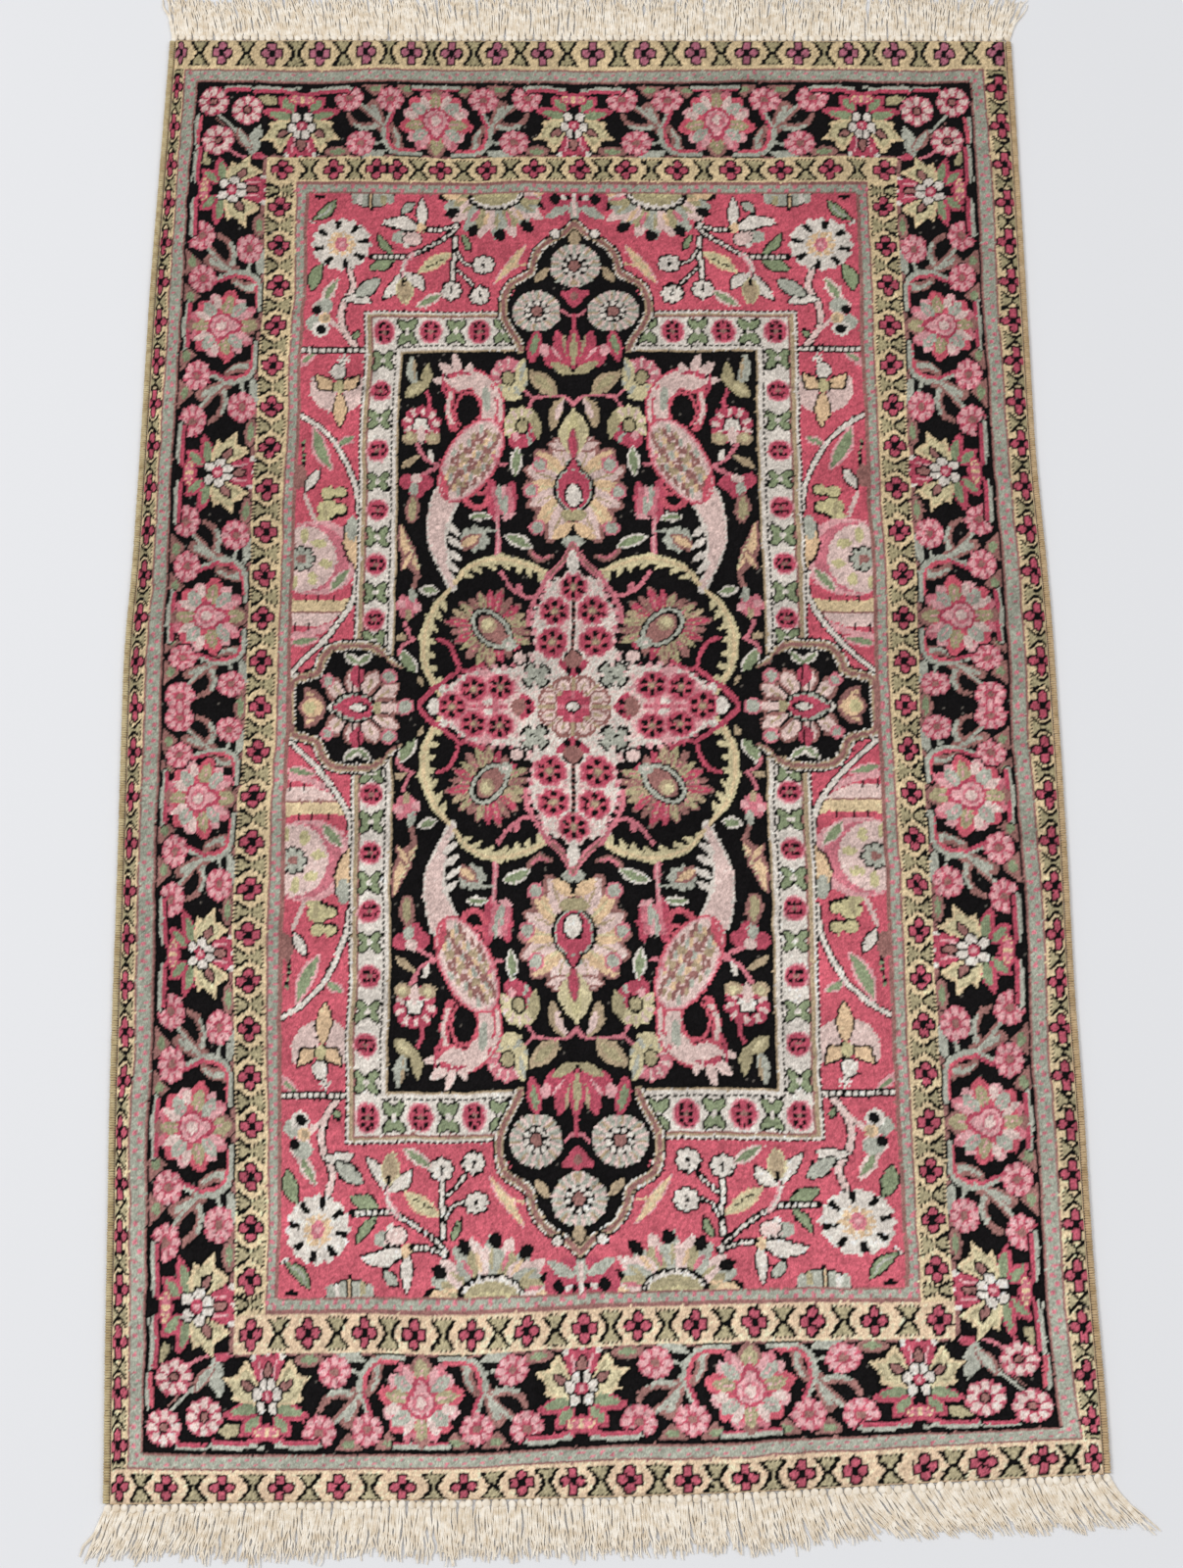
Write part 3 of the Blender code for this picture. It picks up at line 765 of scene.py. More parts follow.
def pendant(p):
    """The black half medallion at the panel's side, with its striped bloom; v runs from its middle line."""
    edge = [(-196, 40), (-208, 49), (-216, 60), (-228, 65.5), (-249, 66.5), (-264, 63), (-273, 52),
            (-278, 38), (-289, 33.5), (-302, 29), (-304.5, 14), (-305, 0), (-305, -12)]
    p.strokes(edge, (14, "black"), (11, "ivory", "black", 4.2), (7.5, "tan"), (4, "mauve"))
    p.shape([(-180, 37), (-203, 44), (-212, 55), (-228, 60), (-249, 61), (-261, 58), (-268, 49), (-272, 34),
             (-286, 28.5), (-296, 25), (-299, 12), (-299.5, 0), (-299.5, -12), (-180, -12)], "black")
    # rays of the bloom
    heart = (-239, 0)
    for turn, reach, wide in ((-8, 44, 20), (26, 47, 22), (58, 49, 22), (-42, 45, 22), (90, 46, 24)):
        base = ring_point(*heart, turn, 10, 8)
        tip = ring_point(*heart, turn, reach, reach * 0.95)
        p.leaf(base, tip, wide, "mauve", blunt=0.6)
        p.leaf(base, (tip[0] * 0.97 - 239 * 0.03, tip[1] * 0.95), wide * 0.68, "blush", blunt=0.6)
        vein = [ring_point(*heart, turn, 24, 20), ring_point(*heart, turn, reach * 0.75, reach * 0.72)]
        p.line(vein, 2.2, "tan" if turn % 4 else "black")
    for turn in (8, 42, 74, -26):
        p.line([ring_point(*heart, turn, 22, 19), ring_point(*heart, turn, 36, 32)], 2.4, "black")
    p.leaf((-239, 22), (-240, 46), 14, "raspberry")
    p.line([(-237, 28), (-238, 42)], 2.2, "black")
    for u, v, r in ((-207, 33, 8), (-191, 2, 8.5), (-268, 29, 7)):
        p.dots(u, v, (r, "pink"), (r - 2.4, "slate"))
    p.leaf((-270, 0), (-292, 22), 15, "mauve")
    p.leaf((-271, 0), (-290, 19), 8, "peach")
    for u, r, ink, long in ((-284, 13, "mauve", 14), (-283, 11, "peach", 12), (-286, 6.5, "cream_olive", 9)):
        p.dot(u, 0, r, ink, long)
    p.shape([(-270, 0), (-258, 14), (-250, 16), (-262, 4)], "ivory")
    p.dots(-241, 0, (23, "black", 18.5), (21, "slate", 16.8))
    p.beads(-241, 0, 20, 1.5, 18, "black", squash=0.8)
    p.leaf((-264, 0), (-240, 0), 15, "raspberry")
    p.dot(-239, 0, 16.5, "raspberry", 14)
    p.dot(-236, 0, 10, "black", 7.5)
    p.leaf((-250, 0), (-226, 0), 11, "ivory")
    p.dot(-218, 4, 4, "olive", 5)
    for u in (-251, -226):
        edged_leaf(p, (-238, 46), (u, 57), 5.5, "sage", edge="ivory", rim=2)


def panel_flower(p, u, v, r, top, foot, tall=1.0):
    """A round bloom in two colours with a dark-ringed olive eye."""
    p.flower(u, v, r, 10, top, depth=0.14, squash=tall)
    p.rays(u, v, r * 0.5, r * 0.9, 10, 0.35, "blush", squash=tall)
    rad, ang = p.polar(u, v, tall)
    low = (rad < r * 0.97) & (np.cos(ang - math.radians(150)) > 0.1)
    p.put(low, foot)
    p.put(low & (np.cos(ang * 10) > 0.3) & (rad > r * 0.5), "slate")
    p.dot(u, v, r * 0.40, "black", r * 0.40 * tall)
    p.dot(u, v, r * 0.30, "olive", r * 0.30 * tall)


def panel_plants(p):
    """The stems, blooms and leaves between the panel's bird and its tall palmette."""
    # the stem from the fan and its two side blooms
    p.line([(-24, 350), (-24, 314)], 3.2, "raspberry")
    p.line([(-24, 318), (-34, 327), (-50, 329), (-66, 327), (-77, 338)], 3.4, "pink")
    p.line([(-64, 328), (-71, 318), (-74, 310)], 3.4, "pink")
    for leaf in (
        ((-36, 328), (-47, 291), 13, "tan", -3), ((-35, 325), (-43, 300), 7, "blush", -2),
        ((-70, 357), (-42, 329), 19, "tan"), ((-66, 353), (-47, 334), 9, "olive"),
    ):
        p.leaf(*leaf)
    panel_flower(p, -91, 349, 20, "pink", "gold", tall=1.15)
    p.leaf((-80, 336), (-76, 372), 12, "gold")
    p.leaf((-80, 345), (-75, 368), 5, "slate")
    p.leaf((-104, 332), (-78, 327), 11, "gold")
    panel_flower(p, -79, 295, 18, "gold", "raspberry", tall=1.3)
    p.leaf((-66, 312), (-62, 280), 11, "olive")
    p.dot(-83, 278, 9, "raspberry", 9)
    p.dot(-85, 284, 4, "light_pink", 5)
    edged_leaf(p, (-83, 270), (-85, 241), 7, "sage", edge="ivory", rim=2.4)
    # side rosette
    p.flower(-178, 297, 21, 9, "raspberry", depth=0.14, squash=1.0)
    p.rays(-178, 297, 11, 19, 9, 0.45, "blush", turn=8)
    for spot in (
        (-190, 281, 8, "tan", 7), (-166, 281, 8, "tan", 7), (-190, 282, 4, "gold", 3.5),
        (-166, 282, 4, "gold", 3.5),
    ):
        p.dot(*spot)
    p.flower(-178.5, 296, 11, 5, "black", depth=0.3, turn=36)
    p.flower(-178.5, 295, 9, 5, "ivory", depth=0.35, turn=36)
    p.leaf((-178.5, 296), (-178, 274), 9, "blush")
    p.dot(-180, 305, 2.4, "black", 3)
    p.line([(-174, 333), (-170, 322), (-172, 312)], 4, "raspberry")
    for leaf in (
        ((-192, 376), (-185, 338), 11, "slate", -2), ((-189, 372), (-186, 345), 3.5, "tan"),
        ((-174, 366), (-180, 334), 11, "olive", 2), ((-196, 327), (-177, 346), 15, "olive"),
        ((-193, 330), (-181, 342), 6, "gold"),
    ):
        p.leaf(*leaf)
    # lower left: three-lobed bloom and stems
    p.line([(-182, 274), (-172, 257), (-158, 250)], 4, "pink")
    p.line([(-158, 250), (-170, 243), (-180, 238)], 4, "pink")
    p.leaf((-199, 248), (-179, 262), 8, "tan")
    p.leaf((-166, 254), (-169, 268), 6, "ivory")
    for spot in (
        (-192, 233, 8, "raspberry", 8), (-173, 231, 8.5, "raspberry", 8), (-182, 224, 9, "raspberry", 10),
        (-182, 236, 6, "blush", 6), (-185, 224, 5, "slate", 7),
    ):
        p.dot(*spot)
    p.leaf((-186, 218), (-186, 187), 15, "mauve", blunt=0.5)
    p.leaf((-186, 215), (-186, 189), 8, "olive", blunt=0.5)
    # feather
    for leaf in (
        ((-199, 188), (-178, 128), 15, "mauve", -3), ((-198, 186), (-179, 136), 10, "peach", -3),
        ((-198, 137), (-182, 162), 9, "mauve"), ((-196, 139), (-184, 158), 5, "peach"),
    ):
        p.leaf(*leaf)
    p.line([(-194, 178), (-184, 152), (-180, 140)], 2.2, "gold", speck="mauve", pitch=6)
    p.line([(-180, 134), (-184, 118)], 5, "mauve")
    p.flower(-190, 98, 13, 6, "pink", depth=0.25, turn=30)
    p.leaf((-186, 118), (-184, 100), 8, "slate")
    p.dot(-196, 100, 4.5, "light_pink")
    p.dot(-180, 96, 4.5, "light_pink")
    p.dot(-189, 88, 3.5, "tan", 6)
    p.line([(-193, 80), (-188, 68), (-183, 61)], 4, "pink")
    p.dot(-195, 64, 5, "tan", 4)
    edged_leaf(p, (-176, 116), (-161, 113), 7, "sage", edge="ivory", rim=2.4)
    edged_leaf(p, (-195, 50), (-180, 22), 10, "sage", edge="ivory", rim=2.2)
    p.leaf((-181, 24), (-172, 12), 6, "tan")
    p.line([(-183, 61), (-193, 56), (-197, 46)], 3.5, "pink")
    # tulip by the bird's breast
    p.leaf((-108, 236), (-106, 190), 13, "raspberry", blunt=0.5)
    p.leaf((-88, 234), (-90, 192), 12, "raspberry", blunt=0.5)
    p.shape([(-108, 226), (-88, 226), (-85, 190), (-95, 196), (-104, 194)], "pink")
    p.leaf((-101, 228), (-93, 196), 10, "slate", blunt=0.6)
    p.leaf((-95, 230), (-98, 208), 4, "light_pink")
    p.leaf((-84, 198), (-98, 192), 6, "light_pink")
    p.line([(-103, 194), (-101, 170), (-101, 148)], 4.6, "pink")
    p.line([(-103, 194), (-101, 170), (-101, 148)], 2.1, "light_pink")
    edged_leaf(p, (-128, 194), (-110, 193), 5, "sage", edge="ivory", rim=2.2)
    p.flower(-124, 170, 14, 8, "slate", depth=0.2)
    p.leaf((-139, 158), (-118, 176), 14, "mauve")
    p.leaf((-137, 160), (-120, 174), 8, "peach")
    p.line([(-112, 180), (-104, 178)], 3, "slate")
    edged_leaf(p, (-94, 172), (-68, 160), 8, "sage", edge="ivory", rim=2.4, bend=2)
    p.line([(-68, 156), (-58, 148), (-48, 151)], 6, "mauve")
    p.line([(-66, 155), (-58, 149), (-50, 151)], 2.6, "pink")


def panel_bird(p):
    """A long-tailed bird that looks back over its wing."""
    # tail
    p.line([(-151, 216), (-158, 192), (-160, 166), (-153, 140), (-145, 117)], 29, "ivory", end_width=9)
    p.line([(-152, 214), (-159, 192), (-161, 168), (-154, 142), (-146, 119)], 25, "blush", end_width=4)
    for u, v in ((-141, 178), (-139, 164), (-139, 150), (-141, 138)):
        p.leaf((u - 12, v + 8), (u + 3, v - 4), 7, "ivory")
        p.leaf((u - 9, v - 2), (u + 5, v - 7), 2.6, "black")
    p.line([(-168, 200), (-170, 180), (-168, 160)], 2.1, "ivory", speck="blush", pitch=5)
    # curl by the tail
    p.line([(-136, 226), (-131, 208), (-118, 204), (-110, 214)], 6, "rose")
    p.line([(-127, 222), (-117, 218), (-111, 226)], 3.4, "rose")
    # neck and head
    neck = [(-112, 288), (-107, 312), (-112, 334), (-126, 347), (-142, 346)]
    p.line(neck, 24, "rose")
    p.line(neck, 19, "blush")
    p.line([(-104, 300), (-103, 320), (-108, 340)], 2.4, "rose")
    p.dot(-142, 343, 14, "rose", 11)
    p.dot(-140, 343, 11, "blush", 8.5)
    p.line([(-112, 330), (-126, 345), (-140, 344)], 16, "blush")
    p.leaf((-162, 366), (-146, 352), 11, "blush")
    p.leaf((-148, 378), (-141, 352), 9, "blush")
    p.leaf((-129, 366), (-136, 350), 9, "blush")
    p.line([(-152, 352), (-141, 355), (-131, 353)], 2.6, "raspberry")
    p.leaf((-169, 347), (-146, 344), 8, "blush")
    p.line([(-158, 352), (-156, 336), (-148, 322)], 3.4, "raspberry")
    p.leaf((-115, 340), (-112, 310), 9.5, "slate")
    p.line([(-148, 334), (-150, 312), (-144, 292)], 8, "rose")
    p.line([(-149, 332), (-151, 312), (-146, 298)], 4.2, "blush")
    p.dot(-131, 313, 13.5, "rose", 21)
    p.dot(-131, 312, 11.2, "black", 18.5)
    # body
    for width, ink in ((26.2, "rose"), (24, "light_pink"), (21.5, "blush")):
        p.dot(-128, 256, width, ink, width + 25, turn=-25)
    for k in range(-4, 5):
        for j in range(-4, 5):
            c, s = math.cos(math.radians(29)), math.sin(math.radians(29))
            a, b = 4.6 * k + (j % 2) * 2.2, 9.0 * j
            if (a / 19) ** 2 + (b / 42) ** 2 < 1:
                ink = ("mauve", "tan", "slate", "mauve", "tan", "mauve", "peach")[(3 * k + 2 * j) % 7]
                p.dot(-128 + a * c + b * s + j % 3, 256 - a * s + b * c - k % 2 * 2, 2.3, ink, 4.8, turn=-12)
    p.leaf((-156, 244), (-150, 210), 6, "rose")
    p.line([(-106, 262), (-101, 253), (-94, 252)], 3.4, "pink")


def tall_palmette(p):
    """The panel's upright palmette on the middle line: gold spear, raspberry ring and pale rays."""
    heart = (-26, 226)
    rays = (
        (18, 60, 57, "blush"), (42, 58, 55, "peach"), (66, 55, 52, "blush"), (90, 52, 49, "peach"),
        (114, 52, 49, "blush"), (138, 58, 55, "peach"), (158, 66, 62, "blush"),
    )
    for turn, edge, _, _ in rays:
        for side in (-turn, turn):
            p.petal(*heart, side, 8, edge, 25, "mauve", blunt=0.62)
    for turn, _, reach, ink in rays:
        for side in (-turn, turn):
            p.petal(*heart, side, 10, reach, 18, ink, blunt=0.62)
            vein = [ring_point(*heart, side, 22), ring_point(*heart, side, reach - 10)]
            p.line(vein, 2.2, "gold" if ink == "peach" else "tan")
    for s in (-1, 1):
        for du, dv, r in ((34, 26, 8), (43, -4, 7.5), (36, -44, 8)):
            p.dots(-26 + s * du, 226 + dv, (r, "pink", r + 1), (r - 2.2, "slate", r - 1.2))
        p.leaf((-26 + s * 4, 268), (-26 + s * 26, 276), 12, "mauve")
        p.leaf((-26 + s * 4, 268), (-26 + s * 24, 275), 7, "blush")
    for leaf in (
        ((-25, 316), (-26, 258), 30, "gold", 0, 1.1), ((-25, 312), (-26, 268), 12, "cream_olive", 0, 1.1),
        ((-26, 292), (-26, 256), 9, "mauve"), ((-26, 290), (-26, 258), 5, "raspberry"),
    ):
        p.leaf(*leaf)
    p.dot(-26, 253, 7, "slate", 5)
    p.dot(-26, 224, 20, "black", 25)
    p.leaf((-26, 260), (-26, 226), 16, "black")
    p.leaf((-26, 257), (-26, 226), 11, "raspberry")
    p.dots(-26, 224, (17.5, "slate", 22.5), (15.8, "raspberry", 21))
    p.dots(-26, 218, (9, "black", 14), (6.5, "ivory", 12))
    p.dot(-26, 196, 13, "olive", 7)
    for u in (-46, -6):
        p.leaf((-26, 188), (u, 170), 13, "peach")
    p.dot(-26, 167, 10, "slate", 6.5)


def ring_flower(p, u, v, r):
    """A raspberry ring with black squares about a mauve heart."""
    p.flower(u, v, r + 2.4, 8, "pink", depth=0.16, turn=22)
    p.flower(u, v, r, 8, "raspberry", depth=0.1, turn=22)
    p.dot(u, v, r * 0.60, "rose")
    p.beads(u, v, r * 0.60, 2.7, 6, "black", long=3.4)
    p.dot(u, v, r * 0.34, "mauve")
    p.dot(u, v, r * 0.20, "tan")


def medallion(p):
    """A quarter of the pale cross with its flowers, fan palmettes and gold crescents."""
    # gold crescents
    top = [(118, 131), (102, 150), (72, 158), (45, 151), (22, 139)]
    side = [(123, 125), (138, 104), (147, 74), (145, 42), (131, 12)]
    for path, inner in ((top, (70, 90)), (side, (80, 70))):
        p.line(path[:3], 4, "gold", end_width=11.5)
        p.line(path[2:], 11.5, "gold", end_width=5)
        fine = smooth_path(path, 4)
        for a, b in zip(fine[2:-2:2], fine[3:-1:2]):
            inward = np.array(inner) - a
            onward = b - a
            tip = a + inward / math.hypot(*inward) * 12 + onward / math.hypot(*onward) * 8
            p.leaf(a, tip, 6.0, "gold")
        p.line(path, 3.2, "cream")
    # fan palmette
    inks = ("raspberry", "olive", "mauve", "olive", "tan", "raspberry", "mauve")
    heart = (83, 84)
    petals = [(k, 360 * k / 22, 7 * abs(math.sin(4 * math.pi * k / 22 + 0.4))) for k in range(22)]
    for k, turn, dip in petals:
        p.petal(*heart, turn, 10, 46 - dip, 11.5, "mauve" if k % 2 else "black", blunt=0.5)
    for k, turn, dip in petals:
        p.petal(*heart, turn, 14, 44 - dip, 8.0, inks[k % 7], blunt=0.5)
        vein = [ring_point(*heart, turn, 20), ring_point(*heart, turn, 35 - dip)]
        p.line(vein, 2.1, "mauve" if k % 3 else "pink", "tan", 7)
    p.dots(82.5, 82.5, (17.5, "black", 25.5), (15.8, "slate", 23.8), (12.2, "black", 20), turn=-38)
    p.dot(81.5, 81.5, 10.6, "mauve", 18, turn=-38)
    p.dot(85, 86, 7.5, "tan", 9)
    p.dot(86, 88, 5.0, "gold", 5.5)
    p.dots(66, 66, (7.5, "slate", 6), (3, "ivory", 2.5))
    # pale cross
    p.shape([(0, 146), (10, 141), (20, 135), (28, 125), (29, 116), (37, 106), (41, 88), (38, 68), (43, 48),
             (60, 42), (92, 39), (106, 33), (119, 24), (131, 11), (136, 0), (136, -5), (-5, -5),
             (-5, 146)], "ivory")
    for u, v in ((40, 100), (42, 90), (41, 78), (39, 68), (70, 42), (80, 43), (96, 39), (32, 116)):
        p.dot(u, v, 3, "light_pink")
    for spot in ((28, 130, 6, "blush"), (44, 52, 5, "blush"), (58, 30, 7, "blush", 5), (102, 33, 5, "blush")):
        p.dot(*spot)
    for u, v, r in (
        (0, 126, 18), (18, 101, 17), (22, 68, 18), (73, 14, 20), (98, 10, 22),
        (119, 0, 17), (86, 32, 9), (40, 38, 9), (14, 84, 10), (58, 8, 12),
    ):
        p.dot(u, v, r, "light_pink" if u > 60 else "blush", r * 0.9)
    for u, v in ((6, 112), (32, 84), (8, 54), (60, 34), (108, 28), (126, 10), (84, 4), (36, 52)):
        p.dot(u, v, 4.2, "ivory")
    worn = np.sin(p.u * 0.9 + p.v * 0.35) * np.sin(p.v * 0.8 - p.u * 0.3)
    ivory, blush = p.ink == INK_NUMBER["ivory"], p.ink == INK_NUMBER["blush"]
    p.put(ivory & (worn > 0.3), "blush")
    p.put(blush & (worn < -0.5), "light_pink")
    # stems
    p.line([(72, 143), (62, 128), (49, 118), (42, 117)], 4.2, "pink")
    p.line([(25, 142), (34, 124), (44, 104), (46, 88)], 4.4, "pink")
    p.leaf((53, 119), (55, 132), 6, "pink")
    p.line([(133, 70), (124, 66), (116, 52), (112, 39), (102, 38), (90, 45)], 4.2, "raspberry")
    p.line([(112, 39), (122, 30), (130, 22)], 4.6, "raspberry")
    p.line([(0, 173), (9, 156), (24, 138)], 7, "pink")
    p.line([(0, 173), (9, 157), (23, 140)], 2.4, "mauve")
    p.leaf((0, 168), (0, 138), 11, "ivory")
    p.line([(6, 146), (13, 137)], 2.6, "black")
    # the cross's ragged pink edge
    for u, v in (
        (60, 44), (52, 46), (89, 41), (103, 36), (112, 31),
        (124, 20), (40, 82), (42, 96), (38, 108), (30, 122),
    ):
        p.dot(u, v, 2.6, "pink", 2.0)
    # flowers on the cross
    p.line([(0, 124), (0, 54)], 2.6, "black", "mauve", 6)
    for flower in ((0, 126, 13), (18.5, 101, 14), (22, 68, 15), (73, 21, 13), (98, 18.5, 13), (119, 0, 14)):
        ring_flower(p, *flower)
    p.line([(108, 0), (66, 0)], 2.6, "pink", "raspberry", 5)
    p.leaf((92, -8), (92, 8), 6, "pink")
    p.leaf((78, -10), (78, 10), 7, "pink")
    # arrow at the cross's end
    p.line([(133, 21), (144, 11), (154, 0)], 6, "raspberry")
    p.dot(137, 0, 6, "ivory", 8)
    p.dot(128, 18, 4, "ivory")
    # buds
    p.shape([(0, 30), (-14, 42), (-17, 50), (-10, 48), (0, 62), (10, 48), (17, 50), (14, 42)], "raspberry")
    p.dot(0, 50, 9.5, "mauve", 9)
    p.line([(-9, 53), (0, 60), (9, 53)], 2.2, "black")
    p.shape([(36, 0), (46, 12), (52, 15), (56, 6), (56, -6), (52, -15), (46, -12)], "raspberry")
    p.dot(55, 0, 7, "mauve", 10)
    for s in (-1, 1):
        p.dot(5 * s, 38, 2.6, "black", 5)
        p.dot(45, 5 * s, 4, "black", 2.6)
    # grey stars and a small flower
    p.rays(38, 33, 0, 15.5, 4, 0.72, "black", turn=40)
    p.rays(38, 33, 0, 12.5, 4, 0.54, "slate", turn=40)
    p.dot(38, 33, 9.5, "slate", 7.5)
    p.line([(33, 37), (42, 29)], 2.1, "black", "slate", 4)
    p.dot(55, 52, 10, "black", 9)
    p.flower(55, 52, 6.5, 6, "blush", depth=0.2)
    # middle rosette
    p.flower(0, 0, 37, 8, "mauve", depth=0.12, turn=22.5, squash=0.92)
    p.flower(0, 0, 34.5, 8, "blush", depth=0.14, turn=22.5, squash=0.92)
    for k in range(8):
        turn = 22.5 + 45 * k
        p.dots(*ring_point(0, 0, turn, 26, 24), (7.5, "mauve", 9.5), (5.6, "blush", 7.6), turn=-turn)
        p.dot(*ring_point(0, 0, turn, 25, 23), 1.6, "tan", 4.5, turn=-turn)
    for k in range(8):
        p.line([ring_point(0, 0, 45 * k, 18, 17), ring_point(0, 0, 45 * k, 34, 31)], 2.3, "tan")
    p.flower(0, 0, 17, 8, "blush", depth=0.05)
    p.shape([(-10, 16), (10, 16), (10, 10), (16, 10), (16, -10), (10, -10), (10, -16), (-10, -16), (-10, -10),
             (-16, -10), (-16, 10), (-10, 10)], "raspberry")
    p.line([(0, 16), (0, 8)], 2.1, "pink")
    p.line([(16, 0), (8, 0)], 2.1, "pink")
    p.dot(0, 0, 7, "black")
    p.flower(0, 0, 5.4, 8, "ivory", depth=0.2)


def paint_panel(c):
    """The black panel inside the frame."""
    for motif in (panel_plants, panel_bird, tall_palmette):
        c.stamp(motif, -25.9, 9, 800, mirror=True, stretch=(1.034, 1.0), inside=(0, 183, 0, 385))
    c.stamp(medallion, 0, 0, 300, stretch=(1.034, 1.0), inside=(0, 183, 0, 200))


def paint_field(c):
    """The rose field with its flowers, the frame and the panel, and the black heads that lie over both."""
    c.fill(0, X_FIELD, 0, Y_FIELD, "rose")
    far = (0, X_FIELD, 388, Y_FIELD)
    head = (0, X_FIELD, 330, Y_FIELD)
    for motif in (field_corner, field_palmette):
        c.stamp(motif, -22.7, 9, 800, mirror=True, stretch=(1.032, 1.0), inside=far)
    c.stamp(spandrel, -25.0, 9, 800, mirror=True, stretch=(1.028, 1.0), inside=(0, X_FIELD, 0, 388))
    paint_frame(c)
    paint_panel(c)
    c.stamp(pendant, -26.8, -2, 800, mirror=True, stretch=(1.034, 1.0), inside=(150, X_FIELD, 0, 80))
    c.stamp(trefoil, -22.7, 9, 800, mirror=True, stretch=(1.032, 1.0), inside=head)


# The woven lines of the real rug, in millimetres, read across it at these places along it.
STATIONS = (740, 600, 430, 0, -237, -430, -600, -740)
MIDDLE_X = -22.0
CHART_X = (0, 183, 223, 289, 304, 334, 416, 434)
LEFT_LINES = (
    (-22, -22, -23, -26, -26, -25, -22, -22),
    (-201, -201, -202, -204, -203, -202, -200, -199),
    (-238, -238, -239, -242, -241, -239, -237, -236),
    (-302, -302, -304, -307.5, -306, -301.5, -300, -300),
    (-317, -317, -317, -321.5, -324, -315, -312, -312),
    (-348, -348, -348, -352, -355.5, -345, -341, -340),
    (-423, -428.7, -430, -434.5, -427, -426, -421, -418),
    (-440, -444, -445, -452.5, -447.6, -446, -439, -432.5),
)
RIGHT_LINES = (
    (-22, -22, -23, -26, -26, -25, -22, -22),
    (166, 166, 166, 165, 164, 165, 166, 166),
    (209.5, 209.5, 208, 206, 205, 205, 206, 207),
    (278, 278, 276, 276, 275.3, 277.5, 278, 278),
    (291, 291, 291, 291, 291.8, 292.5, 292, 292),
    (322.5, 322.5, 321, 320, 319, 321, 321, 322),
    (405, 406, 404, 408, 410, 406, 407.5, 413),
    (423, 425, 422.5, 427, 429, 426, 427.5, 435),
)
CHART_Y = (0, 387, 434.5, 576, 590, 624, 713, 729)
FAR_LINES = (-9, 380, 426.5, 567, 581.5, 612.5, 702.6, 720.4)
NEAR_STATIONS = (-440, -100, 100, 400)
NEAR_LINES = (
    (-9, -9, -9, -9),
    (-394, -394, -394, -394),
    (-442, -442, -442, -442),
    (-588, -587, -581, -581),
    (-602, -602, -594, -594),
    (-637.5, -639, -630, -629),
    (-726, -727, -719, -707.5),
    (-742.5, -741, -734, -721),
)

# The solid model's outline and locks, in metres, repeated here because the pieces lie on them.
HALF_WIDTH = 0.4575
FAR_END = 0.7585
NEAR_END = -0.768
BODY_HEIGHT = 0.006
GAP = 0.0003
SIDE_DRIFT = (
    (0.758, 0.0005, -0.0025),
    (0.600, 0.0050, -0.0030),
    (0.460, 0.0090, -0.0040),
    (0.260, 0.0110, -0.0055),
    (0.130, 0.0130, -0.0010),
    (0.060, 0.0170, 0.0000),
    (-0.060, 0.0150, 0.0000),
    (-0.180, 0.0125, -0.0005),
    (-0.300, 0.0110, -0.0025),
    (-0.410, 0.0090, -0.0010),
    (-0.525, 0.0050, -0.0018),
    (-0.600, 0.0030, -0.0010),
    (-0.685, 0.0000, 0.0015),
    (-0.770, -0.0035, 0.0010),
)
NEAR_LINE = (
    (-0.455, -0.7710), (0.0, -0.7680), (0.150, -0.7635), (0.250, -0.7590), (0.457, -0.7505),
)
WAVES = ((0.00030, 2.1, 1.3, 0.4), (0.00022, -3.4, 4.1, 1.9), (0.00016, 6.2, 7.3, 3.1))
CORD_WIDTH = 0.0068
CORD_HEIGHT = 0.0054
# The side cord and the gap beside it, from the rug's side to its pile.
SIDE_INSET = 0.0071
# From the pile's surface down to the foundation's.
PILE_DEPTH = 0.0016
# The trace of one fold across the rug: its depth, its place and its half width.
FOLD = (0.0010, -0.012, 0.013)
STRIP_DEPTH = 0.0026
FAR_LOCKS = 116
NEAR_LOCKS = 120
FAR_SWEEP = (
    (-0.457, -0.006, 0.050),
    (-0.400, -0.012, 0.051),
    (-0.300, -0.010, 0.054),
    (-0.150, -0.003, 0.056),
    (0.000, 0.001, 0.057),
    (0.200, 0.003, 0.056),
    (0.330, 0.003, 0.055),
    (0.420, 0.007, 0.053),
    (0.456, 0.016, 0.047),
)
NEAR_SWEEP = (
    (-0.455, -0.017, 0.043),
    (-0.400, -0.010, 0.044),
    (-0.300, -0.004, 0.046),
    (-0.100, 0.001, 0.047),
    (0.100, 0.005, 0.047),
    (0.180, 0.012, 0.045),
    (0.250, 0.032, 0.041),
    (0.310, 0.026, 0.040),
    (0.380, 0.018, 0.043),
    (0.430, 0.026, 0.043),
    (0.457, 0.038, 0.042),
)


def read_table(rows, column, place, softness):
    """A column of a table of places, softened over a length."""
    rows = sorted(rows)
    at = [r[0] for r in rows]
    held = [r[column] for r in rows]
    place = np.asarray(place, float)
    total = sum(np.interp(place + softness * s, at, held) for s in np.linspace(-0.5, 0.5, 9))
    return total / 9


def left_side(y):
    return -HALF_WIDTH - read_table(SIDE_DRIFT, 1, y, 0.08)


def right_side(y):
    return HALF_WIDTH + read_table(SIDE_DRIFT, 2, y, 0.08)


def near_end(x):
    return read_table(NEAR_LINE, 1, x, 0.06)


def pile_height(x, y):
    """The top of the pile over the floor: slow waves and the trace of one fold."""
    z = BODY_HEIGHT + np.zeros_like(x)
    for size, across, along, phase in WAVES:
        z = z + size * np.sin(2 * math.pi * (across * x + along * y) + phase)
    depth, place, width = FOLD
    return z - depth * np.exp(-(((y - place) / width) ** 2))


